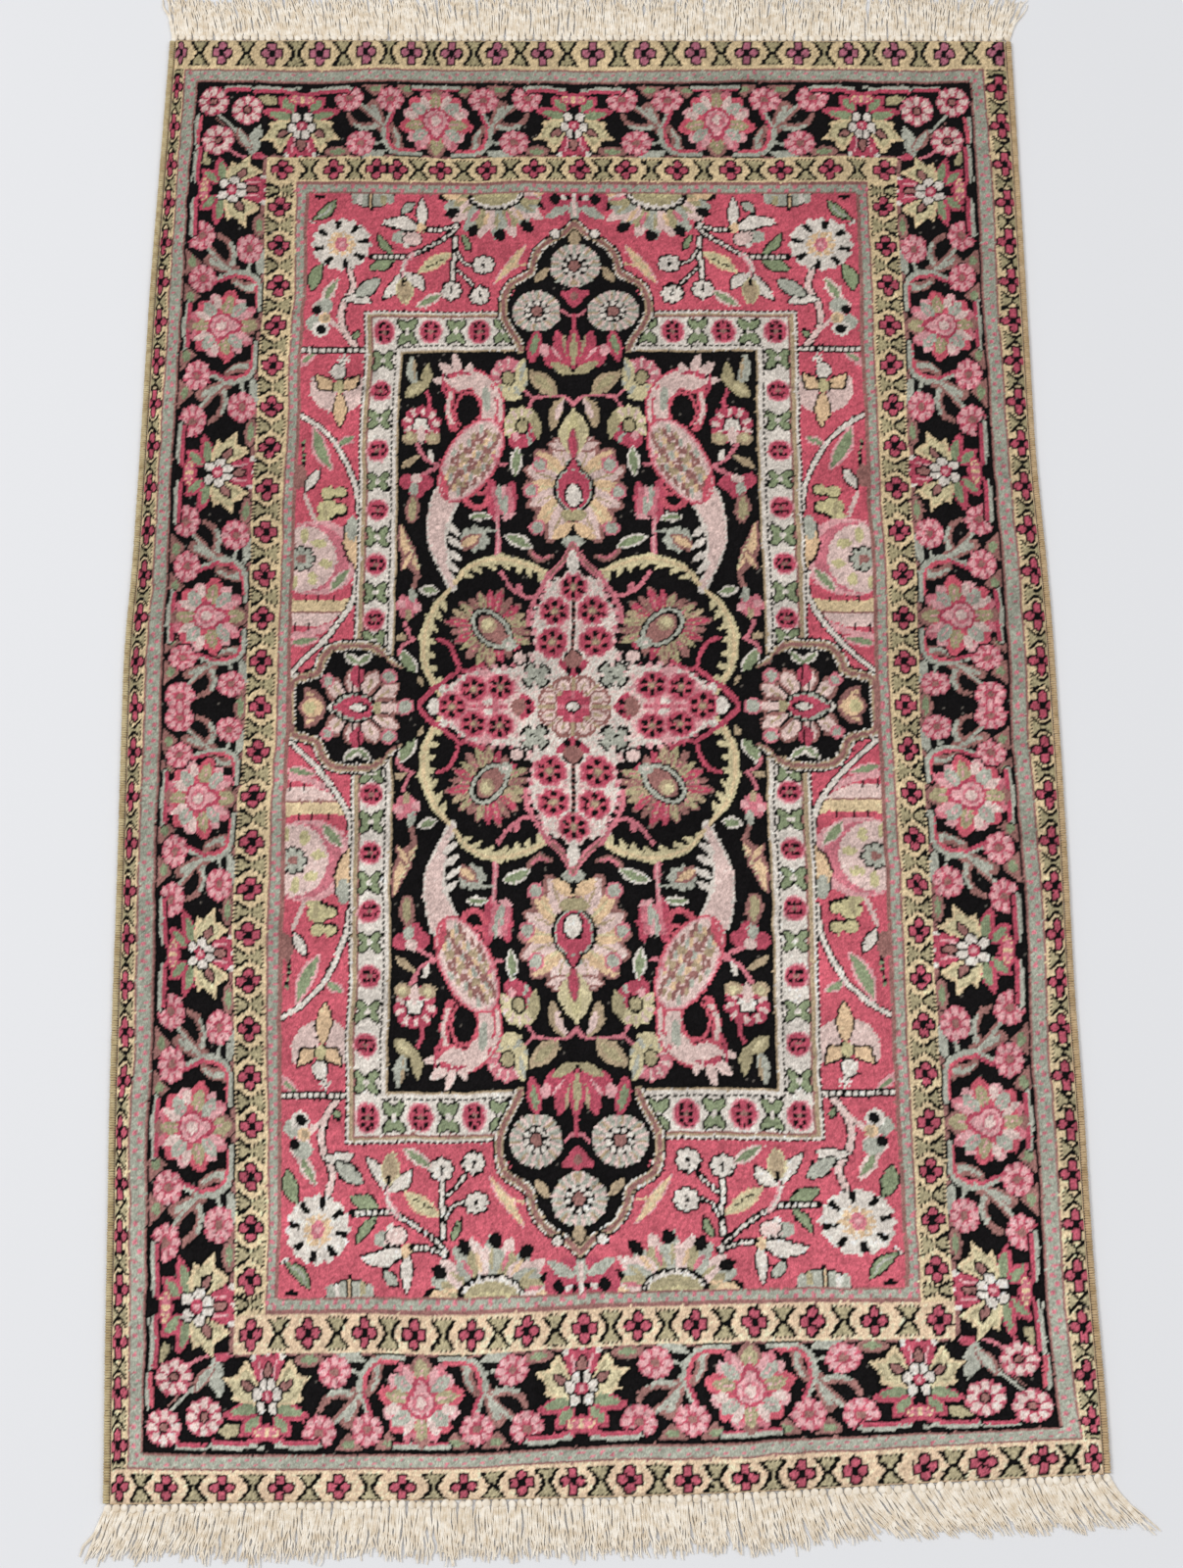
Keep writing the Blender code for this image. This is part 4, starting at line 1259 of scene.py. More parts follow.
def linear(code):
    """An sRGB hex colour as linear red, green and blue."""
    parts = [int(code[i : i + 2], 16) / 255 for i in (1, 3, 5)]
    return tuple(p / 12.92 if p <= 0.04045 else ((p + 0.055) / 1.055) ** 2.4 for p in parts)


def blur_rows(values, rounds):
    for _ in range(rounds):
        padded = np.concatenate([values[:1], values, values[-1:]])
        values = (padded[:-2] + 2 * padded[1:-1] + padded[2:]) / 4
    return values


def soften(values):
    """Each knot mixed with its neighbours, along both axes."""
    for axis in (0, 1):
        values = (np.roll(values, 1, axis) + 2 * values + np.roll(values, -1, axis)) / 4
    return values


def soft_noise(rng, shape, cell):
    """Smooth noise about 0, with bumps about this many knots across."""
    rows, cols = (int(n / cell) + 3 for n in shape)
    coarse = rng.normal(0, 1, (rows, cols))
    yy = np.arange(shape[0]) / cell
    xx = np.arange(shape[1]) / cell
    yi, xi = yy.astype(int), xx.astype(int)
    fy, fx = (yy - yi)[:, None], (xx - xi)[None, :]
    fy, fx = fy * fy * (3 - 2 * fy), fx * fx * (3 - 2 * fx)
    a = coarse[np.ix_(yi, xi)] * (1 - fx) + coarse[np.ix_(yi, xi + 1)] * fx
    b = coarse[np.ix_(yi + 1, xi)] * (1 - fx) + coarse[np.ix_(yi + 1, xi + 1)] * fx
    return a * (1 - fy) + b * fy


def knot_places(rng):
    """Where each knot of the whole rug lies, in metres, from the chart's lines and the real ones."""
    cols, rows = 2 * QUARTER_COLUMNS, 2 * QUARTER_ROWS
    dx = np.linspace(-HALF_CHART_WIDTH, HALF_CHART_WIDTH, cols)
    dy = np.linspace(-HALF_CHART_LENGTH, HALF_CHART_LENGTH, rows)
    grid_x, grid_y = np.meshgrid(dx, dy)
    known_x, known_y = CHART_X + (HALF_CHART_WIDTH,), CHART_Y + (HALF_CHART_LENGTH,)
    nearward = [-s for s in STATIONS]
    inset = SIDE_INSET * 1000
    far = np.interp(grid_y, known_y, FAR_LINES + (FAR_END * 1000,))
    x = grid_x + MIDDLE_X
    for _ in range(3):
        lines = [np.interp(x[0], NEAR_STATIONS, row) for row in NEAR_LINES]
        lines = np.array(lines + [near_end(x[0] / 1000) * 1000])
        near = np.empty_like(grid_y)
        for c in range(cols):
            near[:, c] = np.interp(-grid_y[:, c], known_y, lines[:, c])
        y = np.where(grid_y >= 0, far, near)
        for r in range(rows):
            at = y[r].mean()
            left = [np.interp(-at, nearward, row) for row in LEFT_LINES]
            right = [np.interp(-at, nearward, row) for row in RIGHT_LINES]
            left.append(left_side(at / 1000) * 1000 + inset)
            right.append(right_side(at / 1000) * 1000 - inset)
            x[r] = np.where(dx < 0, np.interp(-dx, known_x, left), np.interp(dx, known_x, right))
    x = blur_rows(x, 60)
    x[:, 0] = left_side(y[:, 0] / 1000) * 1000 + inset
    x[:, -1] = right_side(y[:, -1] / 1000) * 1000 - inset
    rim = np.minimum(HALF_CHART_WIDTH - abs(grid_x), HALF_CHART_LENGTH - abs(grid_y))
    loose = np.minimum(1, rim / 8)
    for places, spread in ((x, 0.30), (y, 0.36)):
        wander = 1.1 * soft_noise(rng, x.shape, 40) + 0.45 * soft_noise(rng, x.shape, 9)
        places += loose * (wander + rng.normal(0, spread, x.shape))
    return x / 1000, y / 1000, grid_x, grid_y


def chart_places(places, station):
    """Where these places across the real rug lie on the chart, at one of the stations."""
    left = [row[station] for row in LEFT_LINES[::-1]]
    right = [row[station] for row in RIGHT_LINES[1:]]
    margin = HALF_CHART_WIDTH - CHART_X[-1]
    lines = [left[0] - margin, *left, *right, right[-1] + margin]
    across = [-v for v in CHART_X[::-1]] + list(CHART_X[1:])
    return np.interp(places, lines, [-HALF_CHART_WIDTH, *across, HALF_CHART_WIDTH])


def whole_chart():
    """The quarter mirrored both ways, with the four end guards drawn across it."""
    quarter = Chart()
    paint_guards(quarter)
    paint_border(quarter)
    paint_field(quarter)
    upper = np.hstack([np.fliplr(quarter.ink), quarter.ink])
    whole = Chart(whole=True)
    whole.ink = np.vstack([np.flipud(upper), upper])
    outer = (Y_OUTER, Y_STRIPE_OUT, HALF_CHART_LENGTH, HALF_CHART_WIDTH, 13.5)
    inner = (Y_INNER, Y_STRIPE_IN, Y_GUARD_IN, X_GUARD_IN, 12.5)
    for places, station, (middle, low, high, reach, tall), side, petal, ground in (
        (OUTER_FAR, 0, outer, 1, "plum", "cream"),
        (INNER_FAR, 1, inner, 1, "berry", "cream"),
        (INNER_NEAR, 6, inner, -1, "berry", "peach_cream"),
        (OUTER_NEAR, 7, outer, -1, "berry", "peach_cream"),
    ):
        ends = sorted((side * low, side * high))
        at = chart_places(places, station)
        paint_end_guard(whole, at, side * middle, *ends, reach, tall, petal, ground)
    return whole.ink


# The painted light and shade along the rug: how light the wool is painted at the far end, the middle and the
# near end, as light falls on pile that leans to the near end; and how much of its dye has faded.
PAINTED_LEAN_LIGHT = (0.81, 0.93, 1.19)
FADING = (0.0, 0.03, 0.12)


def knot_colours(rng, inks, grid_y):
    """Each knot's colour, with the dye's bands, the wear, the wool's own spread and painted light and shade
    along the rug.
    """
    palette = np.array([linear(code) for code in INKS.values()])
    strayed = inks.copy()
    shift = rng.integers(0, 4, inks.shape)
    stray = rng.random(inks.shape)
    for k, step in enumerate(((0, 1), (0, -1), (1, 0), (-1, 0))):
        strayed = np.where((stray < 0.06) & (shift == k), np.roll(inks, step, (0, 1)), strayed)
    colour = palette[strayed]
    # A knot stands clear of its neighbours, more than a mesh with one point for each knot shows.
    colour = np.clip(1.18 * colour - 0.18 * soften(colour), 0.003, 1)
    dye = 1 + 0.055 * soft_noise(rng, inks.shape, 26) + 0.05 * soft_noise(rng, inks.shape, 6)
    dye = dye + 0.05 * soft_noise(rng, inks.shape, 2)
    band = soft_noise(rng, (inks.shape[0], 1), 17) * 0.045
    knot = rng.normal(1, 0.15, inks.shape)
    colour = colour * (dye * knot)[..., None] * (1 + band)[..., None]
    # Painted light and shade: the pile leans to the near end, so the colour is painted darker and fuller at
    # the far end and lighter at the near end, where the dye has also faded.
    share = np.clip(0.5 - grid_y / (2 * HALF_CHART_LENGTH), 0, 1)
    fade = np.interp(share, (0, 0.5, 1), FADING)[..., None]
    grey = (colour @ np.array([0.2126, 0.7152, 0.0722]))[..., None]
    colour = (colour * (1 - fade) + grey * fade) * np.interp(share, (0, 0.5, 1), PAINTED_LEAN_LIGHT)[..., None]
    # A few dark knots have lost their tips, and the cotton shows.
    bare = (inks == INK_NUMBER["black"]) & (rng.random(inks.shape) < 0.004)
    colour[bare] = (0.15, 0.13, 0.11)
    return np.clip(colour, 0.004, 1)


class Flow:
    """A number on its way through a node tree, so that sums on it read as sums."""

    def __init__(self, tree, socket):
        self.tree, self.socket = tree, socket

    def join(self, operation, other=0.0):
        return maths(self.tree, operation, self, other)

    def __add__(self, other):
        return self.join("ADD", other)

    def __sub__(self, other):
        return self.join("SUBTRACT", other)

    def __rsub__(self, other):
        return maths(self.tree, "SUBTRACT", other, self)

    def __mul__(self, other):
        return self.join("MULTIPLY", other)

    def __truediv__(self, other):
        return self.join("DIVIDE", other)

    def __pow__(self, other):
        return self.join("POWER", other)


def maths(tree, operation, first, second):
    made = add(tree, "ShaderNodeMath", {0: first, 1: second}, operation=operation)
    return Flow(tree, made.outputs[0])


def add(tree, kind, links=None, **settings):
    """Adds a node, sets its properties, and fills or links its inputs by name or number."""
    item = tree.nodes.new(kind)
    for key, value in settings.items():
        setattr(item, key, value)
    for key, value in (links or {}).items():
        socket = item.inputs[key]
        if isinstance(value, Flow):
            value = value.socket
        elif isinstance(value, bpy.types.Node):
            value = value.outputs[0]
        if isinstance(value, bpy.types.NodeSocket):
            tree.links.new(value, socket)
        else:
            socket.default_value = value
    return item


def new_material(name):
    material = bpy.data.materials.new(name)
    material.use_nodes = True
    material.node_tree.nodes.clear()
    return material, material.node_tree


def map_range(tree, value, low, high, to_low, to_high):
    return add(tree, "ShaderNodeMapRange", {0: value, 1: low, 2: high, 3: to_low, 4: to_high}).outputs[0]


def shade_with(tree, inputs):
    """Ends a material with one principled shader that has these inputs."""
    add(tree, "ShaderNodeOutputMaterial", {0: add(tree, "ShaderNodeBsdfPrincipled", inputs)})


def random_value(tree, low, high, seed):
    """A random number between the two, or three numbers when they are tuples."""
    several = isinstance(low, tuple)
    first, output, kind = (0, 0, "FLOAT_VECTOR") if several else (2, 1, "FLOAT")
    links = {first: low, first + 1: high, "Seed": seed}
    return add(tree, "FunctionNodeRandomValue", links, data_type=kind).outputs[output]


def wool_pile():
    """Hand-spun wool, knotted and sheared: matt, with a soft bloom at low angles.

    It gives the eye tufts about 2 mm wide that lean towards the near end, each a bundle of fibres, with
    painted shade between its strands and in the hollows between tufts.
    """
    material, tree = new_material("sheared wool pile")
    place = add(tree, "ShaderNodeTexCoord").outputs["Object"]
    dyed = add(tree, "ShaderNodeAttribute", attribute_name="knot_colour").outputs["Color"]
    # Tufts are 2 mm wide and 3.2 mm long as they lie, so 500 and 310 to the metre.
    lean = add(tree, "ShaderNodeMapping", {0: place, "Scale": (500, 310, 500)})
    tuft = add(tree, "ShaderNodeTexVoronoi", {0: lean, "Scale": 1.0, "Randomness": 0.85}, feature="F1")
    centre = tuft.outputs["Distance"]
    # Fibres are too fine to show at 0.03 mm, so they are drawn as strands about 0.7 mm apart.
    comb = add(tree, "ShaderNodeMapping", {0: place, "Scale": (1, 0.35, 1)})
    fibre = add(tree, "ShaderNodeTexNoise", {0: comb, "Scale": 1400.0, "Detail": 2.0})
    patch = add(tree, "ShaderNodeTexNoise", {0: place, "Scale": 60.0, "Detail": 3.0})
    # Painted shade: the colour is darkened between the fibre strands and towards each tuft's edge, in the
    # hollows between tufts.
    shade = Flow(tree, map_range(tree, fibre, 0.3, 0.7, 0.80, 1.16))
    hollow_shade = map_range(tree, centre, 0.1, 0.75, 1.06, 0.80)
    bloom = map_range(tree, patch, 0.3, 0.7, 0.93, 1.07)
    colour = add(tree, "ShaderNodeHueSaturation", {"Value": shade * hollow_shade * bloom, "Color": dyed})
    height = Flow(tree, centre) - fibre
    bump = add(tree, "ShaderNodeBump", {"Height": height, "Strength": 0.6, "Distance": 0.0006}, invert=True)
    shade_with(tree, {
        "Base Color": colour, "Roughness": 0.92, "Normal": bump, "Specular IOR Level": 0.04,
        "Sheen Weight": 0.05, "Sheen Roughness": 0.5,
    })
    return material


def spun_cotton(name, lit_colour, shaded, sheen=0.1):
    """Spun yarn: chalky, with a fine twist and darker patches of painted shade."""
    material, tree = new_material(name)
    place = add(tree, "ShaderNodeTexCoord").outputs["Object"]
    # Broad bands, well broken up, so that no two threads or wraps catch the light alike.
    waves = {0: place, "Scale": 21.0, "Distortion": 6.0}
    twist = add(tree, "ShaderNodeTexWave", waves, bands_direction="DIAGONAL")
    # Painted shade: noise mixes the shaded copy of the colour into the lit one, in small patches.
    painted_shade_noise = add(tree, "ShaderNodeTexNoise", {0: place, "Scale": 140.0, "Detail": 4.0})
    tone = map_range(tree, painted_shade_noise, 0.35, 0.68, 0.0, 1.0)
    mix = {"Factor": tone, 6: (*linear(lit_colour), 1), 7: (*linear(shaded), 1)}
    colour = add(tree, "ShaderNodeMix", mix, data_type="RGBA").outputs[2]
    bump = add(tree, "ShaderNodeBump", {"Height": twist, "Strength": 0.5, "Distance": 0.0003})
    shade_with(tree, {
        "Base Color": colour, "Roughness": 0.85, "Normal": bump, "Specular IOR Level": 0.25,
        "Sheen Weight": sheen, "Sheen Roughness": 0.5,
    })
    return material


def link_object(name, data):
    made = bpy.data.objects.new(name, data)
    bpy.context.scene.collection.objects.link(made)
    return made


def new_object(name, vertices, edges=(), faces=()):
    mesh = bpy.data.meshes.new(name)
    mesh.from_pydata(vertices, edges, faces)
    return link_object(name, mesh)


def strip_places(row, column, limb):
    """Each quad's corners in a unit square, once the limbs are cut into strips and these are stacked.

    Limbs 0 and 1 run across the rug, and the others along it. A strip gets far more of a baked
    picture than a ring with an empty middle would.
    """
    along, across = np.where(limb < 2, column, row), np.where(limb < 2, row, -column)
    runs = []
    for k in np.unique(limb):
        own = limb == k
        along[own] -= along[own].min()
        across[own] -= across[own].min()
        runs.append((k, along[own].max() + 1, across[own].max() + 4))

    def side(cut):
        return max(cut, sum(-(-length // cut) * wide for _, length, wide in runs))

    cut = min(range(40, 600), key=side)
    shelf = np.zeros(row.shape)
    base = 1
    for k, length, wide in runs:
        own = limb == k
        shelf[own] = base + along[own] // cut * wide
        base += -(-length // cut) * wide
    step_column, step_row = np.array([0, 1, 1, 0]), np.array([0, 0, 1, 1])
    crosswise = (limb < 2)[:, None]
    u = (1 + along % cut)[:, None] + np.where(crosswise, step_column, step_row)
    v = (shelf + across)[:, None] + np.where(crosswise, step_row, 1 - step_column)
    return np.stack([u, v], -1) / (side(cut) + 3.0)


def grid_object(name, x, y, z, keep, limbs, colour, material):
    """A sheet of quads over a grid of places, where keep says which quads are in it."""
    cols = x.shape[1]
    r, c = np.nonzero(keep)
    first = r * cols + c
    quads = np.stack([first, first + 1, first + cols + 1, first + cols], 1)
    used, back = np.unique(quads, return_inverse=True)
    quads = back.reshape(quads.shape)
    mesh = bpy.data.meshes.new(name)
    mesh.vertices.add(len(used))
    places = np.stack([x.ravel()[used], y.ravel()[used], z.ravel()[used]], 1)
    mesh.vertices.foreach_set("co", places.astype(np.float32).ravel())
    mesh.loops.add(quads.size)
    mesh.loops.foreach_set("vertex_index", quads.ravel().astype(np.int32))
    mesh.polygons.add(len(quads))
    mesh.polygons.foreach_set("loop_start", np.arange(0, quads.size, 4, dtype=np.int32))
    mesh.polygons.foreach_set("loop_total", np.full(len(quads), 4, np.int32))
    mesh.update(calc_edges=True)
    mesh.polygons.foreach_set("use_smooth", np.ones(len(quads), bool))
    flat = colour.reshape(-1, 3)[used]
    rgba = np.hstack([flat, np.ones((len(flat), 1))]).astype(np.float32)
    layer = mesh.color_attributes.new("knot_colour", "FLOAT_COLOR", "POINT")
    layer.data.foreach_set("color", rgba.ravel())
    places = strip_places(r, c, limbs[keep])
    mesh.uv_layers.new(name="OFBake").data.foreach_set("uv", places.astype(np.float32).ravel())
    mesh.materials.append(material)
    return link_object(name, mesh)


def settle(made, node=None):
    """The piece rides on the rug and stands for its solid."""
    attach(made, "root")
    if node:
        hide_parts(node)


class RugSettings(bpy.types.PropertyGroup):
    """The sizes and colours of the rug that a user may change."""

    seed: bpy.props.IntProperty(name="Seed", description="Number behind the rug's uneven knots", default=31)
    thread_width: bpy.props.FloatProperty(
        name="Fringe thread", description="Width of one thread", default=0.0019, unit="LENGTH", min=0.0005
    )
    threads: bpy.props.IntProperty(
        name="Threads per lock", description="Threads below each knot", default=9, min=2, max=12
    )
    knot_size: bpy.props.FloatProperty(
        name="Fringe knot", description="Width of one fringe knot", default=0.0076, unit="LENGTH", min=0.002
    )
    wrap_pitch: bpy.props.FloatProperty(
        name="Overcast pitch", description="Distance between wraps", default=0.0024, unit="LENGTH", min=0.001
    )
    floor_colour: bpy.props.FloatVectorProperty(
        name="Floor", description="Colour of the floor", subtype="COLOR", min=0, max=1,
        default=linear("#e6e7ea"),
    )


class RUG_OT_stage(bpy.types.Operator):
    """Adds the pale floor, the soft light and the camera"""

    bl_idname = "rug.stage"
    bl_label = "Stage"

    def execute(self, context):
        settings = context.scene.rug_settings
        material, tree = new_material("matt painted floor")
        # Plain painted board: no grain, so that only the rug has detail.
        colour = (*settings.floor_colour, 1)
        shade_with(tree, {"Base Color": colour, "Roughness": 0.9, "Specular IOR Level": 0.1})
        corners = [(-6, -6, 0), (6, -6, 0), (6, 6, 0), (-6, 6, 0)]
        floor = new_object("floor", corners, faces=[(0, 1, 2, 3)])
        floor.data.materials.append(material)
        world = bpy.data.worlds.new("studio")
        context.scene.world = world
        world.use_nodes = True
        sky = world.node_tree.nodes["Background"]
        sky.inputs["Color"].default_value = (1.0, 1.0, 1.0, 1)
        sky.inputs["Strength"].default_value = 0.56
        # Both lamps look at the middle of the rug.
        for name, place, size, power in (
            ("window light", (-3.6, 0.3, 4.6), 1.6, 132),
            ("right light", (3.4, -0.4, 4.6), 2.4, 56),
        ):
            lamp = bpy.data.lights.new(name, "AREA")
            lamp.size = size
            lamp.energy = power
            holder = link_object(name, lamp)
            holder.location = place
            x, y, z = place
            holder.rotation_euler = Euler((math.atan2(math.hypot(x, y), z), 0, math.atan2(x, -y)))
        lens = bpy.data.cameras.new("camera")
        lens.lens = 60.17
        lens.sensor_width = 36.0
        lens.clip_end = 50
        camera = link_object("camera", lens)
        camera.location = (-0.04738, -0.89274, 2.45294)
        camera.rotation_euler = Euler([math.radians(a) for a in (18.1516, -0.7632, -0.4579)])
        context.scene.camera = camera
        context.scene.view_settings.view_transform = "Standard"
        return {"FINISHED"}


class RUG_OT_foundation(bpy.types.Operator):
    """Makes the cotton foundation that the pile is knotted on, as one closed sheet"""

    bl_idname = "rug.foundation"
    bl_label = "Foundation"

    def execute(self, context):
        cols, rows = 60, 100
        share_x, share_y = np.meshgrid(np.linspace(0, 1, cols), np.linspace(0, 1, rows))
        x = np.zeros_like(share_x)
        for _ in range(2):
            y = near_end(x) + share_y * (FAR_END - near_end(x))
            x = left_side(y) + SIDE_INSET + share_x * (right_side(y) - left_side(y) - 2 * SIDE_INSET)
        sides, ends = np.minimum(share_x, 1 - share_x) * 0.93, np.minimum(share_y, 1 - share_y) * 1.5
        round_off = np.clip(1 - np.minimum(sides, ends) / 0.02, 0, 1)
        top = pile_height(x, y) - PILE_DEPTH - 0.0012 * round_off
        floor = np.zeros(x.size)
        vertices = [*zip(x.ravel(), y.ravel(), top.ravel()), *zip(x.ravel(), y.ravel(), floor)]
        under = rows * cols
        faces = []
        for r in range(rows - 1):
            for c in range(cols - 1):
                i = r * cols + c
                faces.append((i, i + 1, i + cols + 1, i + cols))
                faces.append((under + i, under + i + cols, under + i + cols + 1, under + i + 1))
        number = np.arange(under).reshape(rows, cols)
        loop = [*number[0], *number[1:, -1], *number[-1, -2::-1], *number[-2:0:-1, 0]]
        loop = [int(i) for i in loop]
        for a, b in zip(loop, loop[1:] + loop[:1]):
            faces.append((a, under + a, under + b, b))
        made = new_object("foundation", vertices, faces=faces)
        # The second colour is the painted shade of the cotton.
        made.data.materials.append(spun_cotton("cotton foundation", "#cdb894", "#a8886c"))
        settle(made, "knotted_body")
        return {"FINISHED"}


class RUG_OT_pile(bpy.types.Operator):
    """Knots the wool pile from the chart, in five rings and halves"""

    bl_idname = "rug.pile"
    bl_label = "Pile"

    def execute(self, context):
        rng = np.random.default_rng(context.scene.rug_settings.seed)
        inks = whole_chart()
        x, y, grid_x, grid_y = knot_places(rng)
        colour = knot_colours(rng, inks, grid_y)
        z = pile_height(x, y) + rng.normal(0, 0.00013, x.shape)
        # Black wool has worn down a little, and the outer rows fall away to the edge.
        z -= 0.00045 * soften((inks == INK_NUMBER["black"]).astype(float))
        edge = np.minimum(HALF_CHART_WIDTH - abs(grid_x), HALF_CHART_LENGTH - abs(grid_y))
        z -= np.interp(edge, (0, 2.2, 4.4, 6.6), (0.0034, 0.0010, 0.0003, 0))
        wool = wool_pile()
        mid_x = (grid_x[:-1, :-1] + grid_x[1:, 1:]) / 2
        mid_y = (grid_y[:-1, :-1] + grid_y[1:, 1:]) / 2
        right, near = mid_x > 0, mid_y < 0
        mid_x, mid_y = abs(mid_x), abs(mid_y)
        outer = (mid_x > X_BLACK) | (mid_y > Y_BLACK)
        border = ~outer & ((mid_x > X_GUARD_IN) | (mid_y > Y_GUARD_IN))
        inner = ~outer & ~border & ((mid_x > X_FIELD) | (mid_y > Y_FIELD))
        field = ~outer & ~border & ~inner
        for name, keep, end in (
            ("pile_outer_guard", outer, mid_y > Y_BLACK),
            ("pile_main_border", border, mid_y > Y_GUARD_IN),
            ("pile_inner_guard", inner, mid_y > Y_FIELD),
            ("pile_field_left", field & ~right, outer),
            ("pile_field_right", field & right, outer),
        ):
            limbs = np.where(end, near, 2 + right)
            made = grid_object(name, x, y, z, keep, limbs, colour, wool)
            settle(made, "knotted_body")
        return {"FINISHED"}


def modified(made, group, values):
    """Runs a node group on an object and keeps the result as a plain mesh."""
    modifier = made.modifiers.new("grow", "NODES")
    modifier.node_group = group
    for item in group.interface.items_tree:
        if item.item_type == "SOCKET" and item.in_out == "INPUT" and item.name in values:
            modifier[item.identifier] = values[item.name]
    graph = bpy.context.evaluated_depsgraph_get()
    mesh = bpy.data.meshes.new_from_object(made.evaluated_get(graph), depsgraph=graph)
    made.modifiers.remove(modifier)
    places = np.empty(3 * len(mesh.vertices), np.float32)
    mesh.vertices.foreach_get("co", places)
    # What rests on the floor is pressed flat.
    places[2::3] = np.maximum(places[2::3], 0.0)
    mesh.vertices.foreach_set("co", places)
    mesh.update()
    old = made.data
    made.data = mesh
    mesh.name = made.name
    bpy.data.meshes.remove(old)
    if not mesh.polygons:
        raise RuntimeError(made.name + " has no faces")


def new_group(name, sockets):
    """A geometry node group with these named inputs, and its two end nodes."""
    group = bpy.data.node_groups.new(name, "GeometryNodeTree")
    group.interface.new_socket("Geometry", in_out="INPUT", socket_type="NodeSocketGeometry")
    for title, kind, value in sockets:
        socket = group.interface.new_socket(title, in_out="INPUT", socket_type=kind)
        if value is not None:
            socket.default_value = value
    group.interface.new_socket("Geometry", in_out="OUTPUT", socket_type="NodeSocketGeometry")
    return group, group.nodes.new("NodeGroupInput"), group.nodes.new("NodeGroupOutput")


def finish_group(group, parts, material, end):
    """Joins the parts, makes them real and smooth, gives them a material and hands them on."""
    joined = add(group, "GeometryNodeJoinGeometry")
    for part in parts:
        group.links.new(part.outputs[0], joined.inputs[0])
    solid = add(group, "GeometryNodeRealizeInstances", {0: joined})
    smooth = add(group, "GeometryNodeSetShadeSmooth", {0: solid, "Shade Smooth": True})
    dressed = add(group, "GeometryNodeSetMaterial", {0: smooth, "Material": material})
    group.links.new(dressed.outputs[0], end.inputs[0])


